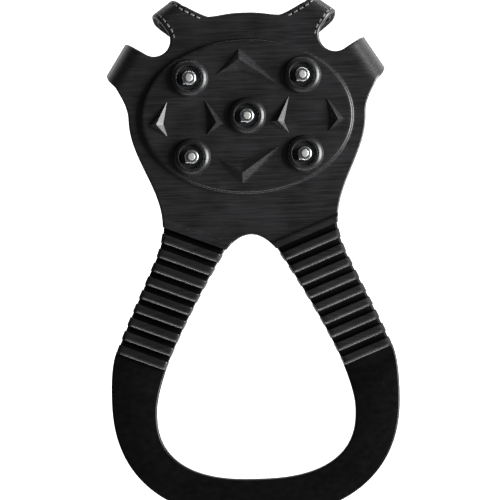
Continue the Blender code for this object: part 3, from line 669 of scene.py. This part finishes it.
# Press-moulded black rubber: satin, a little grey where the mould's milled lines scatter the light.
plate_rubber = rubber_finish("moulded_rubber", "#0d0d0e", "#1f1f21", smooth=0.33, rough=0.46,
                             line_depth=0.025 * MM, line_pitch=0.4, line_length=9.0)
plate = add_piece("heel_plate_moulding", *plate_mesh(), plate_rubber, sharp_degrees=38)
# The walls are where the flash was trimmed off: a dull cut, coloured darker than the plate as painted shade
# for the shade that falls on them. Only the walls have four corners.
wall_shade_rubber = rubber_finish("trimmed_rubber_painted_shade", "#060606", "#0c0c0c", smooth=0.6, rough=0.75,
                           line_depth=0.05 * MM, line_pitch=0.3, line_length=0.8, shine=0.12)
plate.data.materials.append(wall_shade_rubber)
for wall in plate.data.polygons:
    wall.material_index = int(len(wall.vertices) == 4)
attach(plate, "plate")
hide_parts("heel_plate")

# ------------------------------------------------------------------ dashes on the hooks
# A row of short raised dashes lies in the channel along each hook edge, like a line of stitches.
# They are moulded with the plate, in the same rubber, coloured pale grey as a painted highlight for the light
# they catch.

DASH_PITCH = 1.72 * MM
DASH_LENGTH = 1.3 * MM
DASH_WIDTH = 0.5 * MM
DASH_HEIGHT = 0.6 * MM


def dash_guide():
    """Lines down the middle of the channels, each point with the direction out of the rubber."""
    verts, edges, outward = [], [], []
    outline = plate_outline()
    lift = 0.1 * MM
    in_channel = False
    for index, point in enumerate(outline):
        flat = inset_point(outline, index, CHANNEL_INSET)
        right = Vector((abs(flat.x), flat.y))
        was_in_channel = in_channel
        in_channel = (CHANNEL_START < HOOK_OUT.dot(right) < CHANNEL_END
                      and HOOK_SIDE.dot(right) < NOTCH_RADIUS
                      and abs(HOOK_OUT.dot(Vector((abs(point.x), point.y)))) < CHANNEL_END + MM)
        if not in_channel:
            continue
        if was_in_channel:
            edges.append((len(verts) - 1, len(verts)))
        verts.append(bend_point(flat.x, flat.y, PLATE_TOP - CHANNEL_DEPTH))
        lifted = bend_point(flat.x, flat.y, PLATE_TOP + lift)
        outward.append((lifted - bend_point(flat.x, flat.y, PLATE_TOP)) / lift)
    guide = new_mesh("dash_guide", verts, [], edges)
    stored = guide.attributes.new("outward", "FLOAT_VECTOR", "POINT")
    stored.data.foreach_set("vector", [value for v in outward for value in v])
    return guide


def new_tree(name, sockets):
    """A geometry tree with a geometry input and output and the named inputs."""
    tree = bpy.data.node_groups.new(name, "GeometryNodeTree")
    tree.interface.new_socket("Geometry", in_out="INPUT", socket_type="NodeSocketGeometry")
    for label, kind in sockets:
        tree.interface.new_socket(label, in_out="INPUT", socket_type=kind)
    tree.interface.new_socket("Geometry", in_out="OUTPUT", socket_type="NodeSocketGeometry")
    return tree, tree.nodes.new("NodeGroupInput").outputs


def grown(name, guide, tree, values):
    """Run a geometry tree on a guide mesh with its named inputs, and keep the result as a plain mesh."""
    carrier = new_object(name, guide)
    modifier = carrier.modifiers.new(name, "NODES")
    modifier.node_group = tree
    for item in tree.interface.items_tree:
        if item.in_out == "INPUT" and item.name in values:
            modifier[item.identifier] = values[item.name]
    mesh = bpy.data.meshes.new_from_object(carrier.evaluated_get(bpy.context.evaluated_depsgraph_get()))
    carrier.modifiers.remove(modifier)
    carrier.data = mesh
    mesh.name = name
    return carrier


def finish_tree(tree, geometry, given):
    """The tree's last nodes: real geometry with its material."""
    real = add_node(tree, "GeometryNodeRealizeInstances", {0: geometry})
    done = add_node(tree, "GeometryNodeSetMaterial", {0: real.outputs[0], "Material": given["Material"]})
    add_node(tree, "NodeGroupOutput", {0: done.outputs[0]})


dash_tree, given = new_tree("dashes_along_a_channel", (
    ("Pitch", "NodeSocketFloat"), ("Size", "NodeSocketVector"), ("Material", "NodeSocketMaterial")))
path = add_node(dash_tree, "GeometryNodeMeshToCurve", {0: given["Geometry"]})
steps = add_node(dash_tree, "GeometryNodeResampleCurve", {"Curve": path.outputs[0], "Length": given["Pitch"]},
                 mode="LENGTH")
bar = add_node(dash_tree, "GeometryNodeMeshCube", {"Size": given["Size"]})
pill = add_node(dash_tree, "GeometryNodeSubdivisionSurface",
                {0: bar.outputs[0], "Level": 2, "Edge Crease": 0.55})
tangent = add_node(dash_tree, "GeometryNodeInputTangent")
outward = add_node(dash_tree, "GeometryNodeInputNamedAttribute", {"Name": "outward"},
                   data_type="FLOAT_VECTOR")
turned = add_node(dash_tree, "FunctionNodeAxesToRotation",
                  {0: outward.outputs[0], 1: tangent.outputs[0]}, primary_axis="Z", secondary_axis="X")
dashes_at = add_node(dash_tree, "GeometryNodeInstanceOnPoints",
                     {"Points": steps.outputs[0], "Instance": pill.outputs[0], "Rotation": turned.outputs[0]})
finish_tree(dash_tree, dashes_at.outputs[0], given)

# The same rubber, a little smoother, coloured pale grey on the raised dashes: a painted highlight.
dash_highlight_rubber = rubber_finish("dash_painted_highlight", "#5a5a5b", "#7c7c7d", smooth=0.3, rough=0.4,
                            line_depth=0.01 * MM, line_pitch=0.4, line_length=1.0)
dashes = grown("hook_dashes", dash_guide(), dash_tree, {
    "Pitch": DASH_PITCH, "Size": (DASH_LENGTH, DASH_WIDTH, DASH_HEIGHT), "Material": dash_highlight_rubber})
dashes.data.shade_smooth()
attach(dashes, "plate")

# ------------------------------------------------------------------ spikes and pins
# Each spike is a turned, zinc-plated collar with one square corner left to key it, on a shank that
# is set into the insert. A ground carbide pin is pressed into its end and does the biting.

COLLAR_RADIUS = 2.0 * MM
COLLAR_KEY = 2.6 * MM
KEY_ANGLE = math.radians(225)
COLLAR_FOOT = DISH_FLOOR + 0.2 * MM
COLLAR_TOP = COLLAR_FOOT + 1.8 * MM
COLLAR_EDGE = 0.55 * MM
SHANK_RADIUS = 1.0 * MM
SHANK_LENGTH = 2.6 * MM
SOCKET_RADIUS = 1.35 * MM
SOCKET_DEPTH = 1.3 * MM
SOCKET_FLOOR = COLLAR_TOP - SOCKET_DEPTH
PIN_RADIUS = 1.05 * MM
PIN_FOOT = SOCKET_FLOOR + 0.2 * MM
PIN_TOP = COLLAR_TOP + 0.9 * MM
PIN_EDGE = 0.25 * MM
TURNED_STEPS = 72


def keyed(radius, angle):
    """The radius at an angle of a circle with one square corner."""
    off = abs((angle - KEY_ANGLE + math.pi) % (2 * math.pi) - math.pi)
    if off > math.pi / 4 or radius <= SOCKET_RADIUS:
        return radius
    reach = radius + COLLAR_KEY - COLLAR_RADIUS
    return max(radius, reach * math.sin(math.pi / 4) / math.sin(math.pi * 3 / 4 - off))


def rounded_edge(radius, top, edge, steps=6):
    """Section points that round the outer top edge of a turned piece."""
    return [(radius - edge + edge * math.cos(a), top - edge + edge * math.sin(a))
            for a in spaced(math.pi / 2, steps)]


def turned_mesh(name, profile):
    """A closed turned piece from (radius, z) points, its first and last on the axis."""
    verts = [(0.0, 0.0, profile[0][1])]
    faces = []
    for radius, z in profile[1:-1]:
        for angle in spaced(2 * math.pi, TURNED_STEPS)[:-1]:
            reach = keyed(radius, angle)
            verts.append((reach * math.cos(angle), reach * math.sin(angle), z))
    verts.append((0.0, 0.0, profile[-1][1]))
    rings = len(profile) - 2
    for step in range(TURNED_STEPS):
        after = (step + 1) % TURNED_STEPS
        faces.append((0, 1 + after, 1 + step))
        for ring in range(rings - 1):
            low, high = 1 + ring * TURNED_STEPS, 1 + (ring + 1) * TURNED_STEPS
            faces.append((low + step, low + after, high + after, high + step))
        last = 1 + (rings - 1) * TURNED_STEPS
        faces.append((last + step, last + after, len(verts) - 1))
    return new_mesh(name, verts, faces)


# The tree sets one turned piece at every stud: the middle of the pad, and the four corners round it.
stud_tree, given = new_tree("one_for_each_stud", (
    ("Center", "NodeSocketVector"), ("Half Spread", "NodeSocketVector"), ("Material", "NodeSocketMaterial")))
corners_of = add_node(stud_tree, "GeometryNodeMeshGrid", {"Size X": 2.0, "Size Y": 2.0, "Vertices X": 2,
                                                         "Vertices Y": 2})
middle_of = add_node(stud_tree, "GeometryNodeMeshLine", {"Count": 1})
places = add_node(stud_tree, "GeometryNodeJoinGeometry")
stud_tree.links.new(corners_of.outputs[0], places.inputs[0])
stud_tree.links.new(middle_of.outputs[0], places.inputs[0])
widened = add_node(stud_tree, "GeometryNodeTransform", {0: places.outputs[0], "Translation": given["Center"],
                                                        "Scale": given["Half Spread"]})
studs_at = add_node(stud_tree, "GeometryNodeInstanceOnPoints",
                    {"Points": widened.outputs[0], "Instance": given["Geometry"]})
finish_tree(stud_tree, studs_at.outputs[0], given)

HEAD_SIZES = {"Center": (0.0, PAD_Y, 0.0), "Half Spread": (STUD_X, STUD_Y, 1.0)}
collar_profile = [(0.0, COLLAR_FOOT - SHANK_LENGTH), (SHANK_RADIUS, COLLAR_FOOT - SHANK_LENGTH),
                  (SHANK_RADIUS, COLLAR_FOOT), (COLLAR_RADIUS, COLLAR_FOOT)]
collar_profile += rounded_edge(COLLAR_RADIUS, COLLAR_TOP, COLLAR_EDGE)
collar_profile += [(SOCKET_RADIUS, COLLAR_TOP), (SOCKET_RADIUS, SOCKET_FLOOR), (0.0, SOCKET_FLOOR)]
spikes = grown("spike_collars", turned_mesh("collar", collar_profile), stud_tree,
               HEAD_SIZES | {"Material": zinc_plate})
shade(spikes.data, sharp_degrees=35)
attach(spikes, "plate")
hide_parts(*[f"spike_{label}" for label in LABELS])

# Tungsten carbide, ground: matt pale grey with fine grit marks, drawn coarser than real to show.
carbide = metal_finish("ground_carbide", "#a9a9a8", "#dededc", smooth=0.55, rough=0.68, grain=0.35,
                       bump_height=0.012 * MM)
pin_profile = [(0.0, PIN_FOOT), (PIN_RADIUS, PIN_FOOT)]
pin_profile += rounded_edge(PIN_RADIUS, PIN_TOP, PIN_EDGE) + [(0.0, PIN_TOP)]
pins = grown("carbide_pins", turned_mesh("pin", pin_profile), stud_tree, HEAD_SIZES | {"Material": carbide})
shade(pins.data, sharp_degrees=35)
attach(pins, "plate")
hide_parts(*[f"pin_{label}" for label in LABELS])

# ------------------------------------------------------------------ ribbed straps
# Two rubber straps run from the plate to the loop. Thin webs between tall cross ribs let them
# stretch. They are one moulding with the plate, so each strap bends smoothly out of it.

WEB_THICKNESS = 1.4 * MM
GROOVE_WIDTH = 1.7 * MM
RIB_OVERHANG = 0.25 * MM
RIB_STEEP_EDGE = 0.25 * MM
# The rounded edge on the loop side of each rib; its glossier, paler part, a painted highlight, stops short of
# the rib's ends.
EDGE_RADIUS = 1.0 * MM
EDGE_TURN = math.radians(55)
EDGE_STOP = 0.8 * MM
# How squarely the ribs end, outside and inside, and the web under them: powers of squared ellipses.
OUTER_END_POWER = 24
INNER_END_POWER = 12
WEB_POWER = 40
HALF_STRAP = 8.0 * MM
UNDER_ROUND = 0.3 * MM
# The strap's hidden ends run on into the plate and the loop, a little smaller.
STRAP_EMBED = 0.6 * MM
EMBED_SCALE = 0.94


def rib_section():
    """A rib from its plate side to its loop side, as (distance, share of its height) points."""
    length = RIB_PITCH - GROOVE_WIDTH
    steep, tall = RIB_STEEP_EDGE, RIB_HEIGHT - WEB_THICKNESS
    points = [(0.0, 0.0)]
    points += [(steep * (1 - math.cos(a)), 1 - steep / tall * (1 - math.sin(a)))
               for a in spaced(math.pi / 2, 4)]
    points += [(length + EDGE_RADIUS * (math.sin(a) - math.sin(EDGE_TURN)),
                1 - EDGE_RADIUS / tall * (1 - math.cos(a)))
               for a in spaced(EDGE_TURN, 7)]
    return points + [(length, 0.0)]


def strap_ring(along, crown):
    """The strap's section round its middle line, while it is straight and HALF_STRAP wide each way."""
    half = HALF_STRAP - RIB_OVERHANG * (1 - crown)
    points = []
    for step in range(33):
        share = math.sin(math.pi / 2 * (step / 16 - 1))
        end = (1 - abs(share) ** (OUTER_END_POWER if share > 0 else INNER_END_POWER)) ** 0.5
        web = UNDER_ROUND + (WEB_THICKNESS - UNDER_ROUND) * (1 - abs(share) ** WEB_POWER) ** 0.5
        points.append((share * half, along, web + (RIB_HEIGHT - WEB_THICKNESS) * crown * end))
    bevel = UNDER_ROUND * 0.3
    return points + [(half - bevel, along, bevel), (half - UNDER_ROUND, along, 0.0),
                     (-half + UNDER_ROUND, along, 0.0), (-half + bevel, along, bevel)]


def skin(rings, closed=True):
    """Faces between equal rings of points, one after another."""
    count = len(rings[0])
    verts = [point for ring in rings for point in ring]
    faces = []
    for row in range(len(rings) - 1):
        for step in range(count):
            after = (step + 1) % count
            faces.append((row * count + step, row * count + after, (row + 1) * count + after,
                          (row + 1) * count + step))
    if closed:
        faces.append(tuple(range(count))[::-1])
        faces.append(tuple(range(len(verts) - count, len(verts))))
    return verts, faces


def rib_module():
    """One pitch of the strap: a groove and the rib after it, open at both ends."""
    rings = [strap_ring(0.0, 0.0), strap_ring(GROOVE_WIDTH * 0.5, 0.0)]
    rings += [strap_ring(GROOVE_WIDTH + along, crown) for along, crown in rib_section()]
    return new_mesh("rib_module", *skin(rings, closed=False))


# The tree repeats one pitch of ribbed strap and joins the copies into one skin.
rib_tree, given = new_tree("ribbed_strap", (
    ("Count", "NodeSocketInt"), ("Pitch", "NodeSocketFloat"), ("Join Within", "NodeSocketFloat"),
    ("Material", "NodeSocketMaterial")))
step_vector = add_node(rib_tree, "ShaderNodeCombineXYZ", {"Y": given["Pitch"]})
starts = add_node(rib_tree, "GeometryNodeMeshLine",
                  {"Count": given["Count"], "Offset": step_vector.outputs[0]})
copies = add_node(rib_tree, "GeometryNodeInstanceOnPoints",
                  {"Points": starts.outputs[0], "Instance": given["Geometry"]})
whole = add_node(rib_tree, "GeometryNodeRealizeInstances", {0: copies.outputs[0]})
joined = add_node(rib_tree, "GeometryNodeMergeByDistance",
                  {0: whole.outputs[0], "Distance": given["Join Within"]})
finish_tree(rib_tree, joined.outputs[0], given)


def strap_level(along):
    """Height of the strap's underside: it eases from the plate down to the table."""
    return PLATE_BOTTOM * (1 - ease(min(1.0, max(0.0, along / STRAP_LENGTH))))


def close_ends(bm):
    """Run both open ends of the strap on into what holds them, and close them."""
    middle = WEB_THICKNESS / 2
    for end, reach in ((0.0, -STRAP_EMBED), (STRAP_LENGTH, STRAP_EMBED)):
        rim = [e for e in bm.edges if e.is_boundary and all(abs(v.co.y - end) < 1e-6 for v in e.verts)]
        moved = bmesh.ops.extrude_edge_only(bm, edges=rim)["geom"]
        for vert in (item for item in moved if isinstance(item, bmesh.types.BMVert)):
            vert.co = (vert.co.x * EMBED_SCALE, end + reach, middle + (vert.co.z - middle) * EMBED_SCALE)
        bmesh.ops.contextual_create(bm, geom=[item for item in moved if isinstance(item, bmesh.types.BMEdge)])


def finish_faces(bm, materials):
    """Give each face its finish: painted shade in the grooves, painted light on the rib edges and outer ends.
    """
    names = ("groove_painted_shade", "rib_edge_painted_highlight", "rib_end_painted_sheen")
    groove, edge, rib_end = (materials.find(name) for name in names)
    for face in bm.faces:
        middle = face.calc_center_median()
        to_next = RIB_PITCH - middle.y % RIB_PITCH
        # The outer ends begin where the surface starts to fall away. The underside stays plain.
        # Painted sheen: the outer ends take the paler matt end finish.
        if face.normal.x > 0.12:
            face.material_index = rib_end
        elif face.normal.x > -0.5 and face.normal.z > -0.5:
            # Painted shade: the groove floors and the low rib walls take the near-black groove finish.
            if middle.z < RIB_HEIGHT - EDGE_RADIUS / 2:
                face.material_index = groove
            # Painted highlight: the rounded loop-side rib edges take the paler edge finish.
            elif to_next < EDGE_RADIUS and abs(middle.x) < HALF_STRAP - EDGE_STOP:
                face.material_index = edge


def place_strap(mesh, sign):
    """Finish the straight strap, then lay it along its real line, taper and slope."""
    bm = bmesh.new()
    bm.from_mesh(mesh)
    close_ends(bm)
    bm.normal_update()
    finish_faces(bm, mesh.materials)
    for vert in bm.verts:
        along, share = vert.co.y, vert.co.x / HALF_STRAP
        outward = share * (strap_outer(along) if share > 0 else strap_inner(along))
        flat = strap_point(along, outward)
        vert.co = (sign * flat.x, flat.y + PAD_Y, strap_level(along) + vert.co.z)
    bmesh.ops.recalc_face_normals(bm, faces=bm.faces)
    # On this deeply grooved skin the recalculation can settle on the inside.
    if bm.calc_volume(signed=True) < 0:
        bmesh.ops.reverse_faces(bm, faces=bm.faces)
    bm.to_mesh(mesh)
    bm.free()
    shade(mesh, sharp_degrees=40)


# The same rubber from a smoother part of the mould: darker, with crisper lights on the ribs.
strap_rubber = rubber_finish("ribbed_rubber", "#0e0e0f", "#1b1b1c", smooth=0.3, rough=0.4,
                             line_depth=0.012 * MM, line_pitch=0.5, line_length=6.0)
# The grooves are dull, and coloured deep black as painted shade for the shade that falls in them.
groove_painted_shade = rubber_finish("groove_painted_shade", "#030303", "#070707", smooth=0.75, rough=0.88,
                              line_depth=0.02 * MM, line_pitch=0.5, line_length=3.0, shine=0.08)
# The rib edges are glossier and coloured paler, so each carries a bright line: partly real gloss, partly a
# painted highlight.
edge_highlight_rubber = rubber_finish("rib_edge_painted_highlight", "#1c1c1d", "#303031", smooth=0.34, rough=0.4,
                            line_depth=0.004 * MM, line_pitch=0.5, line_length=6.0, shine=1.0)
# The outer ends of the ribs are cut where the mould parts, so they are matt; their paler grey is a painted
# sheen.
end_sheen_rubber = rubber_finish("rib_end_painted_sheen", "#1a1a1b", "#2c2c2d", smooth=0.7, rough=0.82,
                           line_depth=0.012 * MM, line_pitch=0.5, line_length=6.0, shine=0.1)
for side, sign in (("left", -1), ("right", 1)):
    strap = grown(f"ribbed_strap_{side}", rib_module(), rib_tree, {
        "Count": RIB_COUNT, "Pitch": RIB_PITCH, "Join Within": 0.001 * MM, "Material": strap_rubber})
    for finish in (groove_painted_shade, edge_highlight_rubber, end_sheen_rubber):
        strap.data.materials.append(finish)
    place_strap(strap.data, sign)
    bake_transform(strap)
    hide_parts(f"strap_{side}")

# ------------------------------------------------------------------ plain loop
# The smooth rubber band that goes round the back of the shoe. It is moulded in one with the straps,
# in a polished part of the mould, so it is darker and has no milling lines.

LOOP_THICKNESS = 3.0 * MM
LOOP_EDGE = 0.7 * MM
LOOP_HALF_WIDTH = 40.7 * MM
LOOP_WIDEST_Y = -78.5 * MM
LOOP_END_Y = -113.2 * MM
LOOP_SHOULDER = 0.3
LOOP_ROUNDNESS = 2.35
HOLE_HALF_WIDTH = 28.0 * MM
HOLE_WIDEST_Y = -83.0 * MM
HOLE_END_Y = -102.2 * MM
HOLE_SHOULDER = 0.65
HOLE_ROUNDNESS = 2.5
LOOP_START = STRAP_LENGTH - 0.25 * MM
LOOP_STEP_DOWN = 0.8 * MM
LOOP_STEP_LENGTH = 9.0 * MM


def squared_ellipse(half_width, widest_y, end_y, roundness, steps):
    """Points from the side of a squared ellipse down to its end on the middle line."""
    return [Vector((half_width * max(0.0, math.cos(a)) ** (2 / roundness),
                    widest_y + (end_y - widest_y) * math.sin(a) ** (2 / roundness)))
            for a in spaced(math.pi / 2, steps)[1:]]


def loop_edge(start, half_width, widest_y, end_y, shoulder, roundness):
    side = Vector((half_width, widest_y))
    corner = Vector((half_width, start.lerp(side, shoulder).y))
    return ([start] + bezier(start, corner, side, 30)
            + squared_ellipse(half_width, widest_y, end_y, roundness, 48))


def loop_ring(outer, inner, thickness):
    """A rounded section of the band between its two edges."""
    across = (outer - inner).normalized()
    far, high = (outer - inner).length - LOOP_EDGE, thickness - LOOP_EDGE
    points = []
    for corner_x, corner_z, first in ((far, LOOP_EDGE, -90), (far, high, 0), (LOOP_EDGE, high, 90),
                                      (LOOP_EDGE, LOOP_EDGE, 180)):
        for step in range(6):
            angle = math.radians(first + 90 * step / 5)
            flat = inner + across * (corner_x + LOOP_EDGE * math.cos(angle))
            points.append(Vector((flat.x, flat.y + PAD_Y, corner_z + LOOP_EDGE * math.sin(angle))))
    return points


def loop_rings():
    outer = loop_edge(strap_point(LOOP_START, strap_outer(LOOP_START)), LOOP_HALF_WIDTH, LOOP_WIDEST_Y,
                      LOOP_END_Y, LOOP_SHOULDER, LOOP_ROUNDNESS)
    inner = loop_edge(strap_point(LOOP_START, -strap_inner(LOOP_START)), HOLE_HALF_WIDTH, HOLE_WIDEST_Y,
                      HOLE_END_Y, HOLE_SHOULDER, HOLE_ROUNDNESS)
    right = []
    for near, far in zip(outer, inner):
        run = min(1.0, ((near + far) / 2 - (outer[0] + inner[0]) / 2).length / LOOP_STEP_LENGTH)
        right.append(loop_ring(near, far, LOOP_THICKNESS - LOOP_STEP_DOWN * (1 - ease(run))))
    return right + [[Vector((-p.x, p.y, p.z)) for p in ring] for ring in right[-2::-1]]


# Polished black rubber: darker than the plate, with a soft even sheen.
loop_rubber = rubber_finish("polished_rubber", "#050505", "#090909", smooth=0.3, rough=0.4,
                            line_depth=0.006 * MM, line_pitch=1.6, line_length=2.2, shine=0.18)
loop = add_piece("rear_loop", *skin(loop_rings()), loop_rubber, sharp_degrees=50)
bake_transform(loop)
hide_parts("heel_loop")

# ------------------------------------------------------------------ studio
# The cleat hangs in the air, seen from straight above, with a white sweep well below it and no glass drawn
# under it. That leaves no shadow round it, and leaves room for the straps and the loop to bend down. One low
# soft box on the right rakes over the studs; weak ones light the ribs and the folds of the hooks.

FLOOR_DROP = 95 * MM
# Strengths, where 1 is white: what is added to the lit paper, its share that glossy rays see, and the room.
PAPER_GLOW = 0.95
MIRRORED_SHARE = 0.35
ROOM_LIGHT = 0.075
SENSOR_WIDTH = 36.0
CAMERA_HEIGHT = 750 * MM
FIELD = 140 * MM
PHOTO_TURN = 1.8
VIEW_CENTER = (-0.34 * MM, 2.57 * MM)


def seen_rays(tree):
    """The light path, and 1 for the rays that look straight at the white, also through glass."""
    ray = add_node(tree, "ShaderNodeLightPath").outputs
    return ray, combined(tree, "MAXIMUM", ray["Is Camera Ray"], ray["Is Transmission Ray"])


floor_mesh = new_mesh("floor", [(-3, -3, 0), (3, -3, 0), (3, 3, 0), (-3, 3, 0)], [(0, 1, 2, 3)])
floor = new_object("floor", floor_mesh)
floor.location.z = -FLOOR_DROP

paper = bpy.data.materials.new("white_sweep")
paper.use_nodes = True
tree = paper.node_tree
tree.nodes.clear()
ray, seen = seen_rays(tree)
# The lamps light the paper a little; the rest, up to white, is added for the rays that see it.
# Steep rubber walls mirror only a part of it, because the cleat shades the paper under them.
part = combined(tree, "MULTIPLY", ray["Is Glossy Ray"], MIRRORED_SHARE)
added = combined(tree, "MULTIPLY", combined(tree, "MAXIMUM", seen, part), PAPER_GLOW)
sheet = add_node(tree, "ShaderNodeBsdfDiffuse", {"Color": linear("#c8c8c8")})
glow = add_node(tree, "ShaderNodeEmission", {"Color": (1, 1, 1, 1), "Strength": added})
front = add_node(tree, "ShaderNodeAddShader", {0: sheet.outputs[0], 1: glow.outputs[0]})
clear = add_node(tree, "ShaderNodeBsdfTransparent")
which = add_node(tree, "ShaderNodeNewGeometry")
both_sides = add_node(tree, "ShaderNodeMixShader",
                      {0: which.outputs["Backfacing"], 1: front.outputs[0], 2: clear.outputs[0]})
add_node(tree, "ShaderNodeOutputMaterial", {0: both_sides.outputs[0]})
floor_mesh.materials.append(paper)

world = bpy.data.worlds.new("studio")
bpy.context.scene.world = world
world.use_nodes = True
tree = world.node_tree
tree.nodes.clear()
# The camera sees white all round; the object is lit by a dim room.
_, seen = seen_rays(tree)
level = combined(tree, "MAXIMUM", seen, ROOM_LIGHT)
back = add_node(tree, "ShaderNodeBackground", {"Color": (1, 1, 1, 1), "Strength": level})
add_node(tree, "ShaderNodeOutputWorld", {0: back.outputs[0]})


def soft_box(name, direction, elevation, distance, size, watts):
    """An area lamp that faces the middle of the object from a direction in degrees from +X."""
    a, e = math.radians(direction), math.radians(elevation)
    lamp = bpy.data.lights.new(name, "AREA")
    lamp.shape = "RECTANGLE"
    lamp.size, lamp.size_y = size
    lamp.energy = watts
    item = new_object(name, lamp)
    way = Vector((math.cos(a) * math.cos(e), math.sin(a) * math.cos(e), math.sin(e)))
    item.location = way * distance
    item.rotation_euler = way.to_track_quat("Z", "Y").to_euler()
    item.visible_camera = False


soft_box("right_box", direction=2, elevation=24, distance=1.0, size=(0.7, 0.4), watts=31)
soft_box("loop_box", direction=-90, elevation=12, distance=0.6, size=(0.7, 0.07), watts=2.2)
soft_box("hook_box", direction=84, elevation=-8, distance=0.6, size=(0.8, 0.08), watts=2.6)

camera = new_object("camera", bpy.data.cameras.new("camera"))
camera.data.sensor_width = SENSOR_WIDTH
camera.data.lens = SENSOR_WIDTH * CAMERA_HEIGHT / FIELD
camera.data.clip_start = 0.01
camera.location = (*VIEW_CENTER, PLATE_TOP + CAMERA_HEIGHT)
camera.rotation_euler = (0.0, 0.0, math.radians(-PHOTO_TURN))
bpy.context.scene.camera = camera
bpy.context.scene.view_settings.view_transform = "Standard"
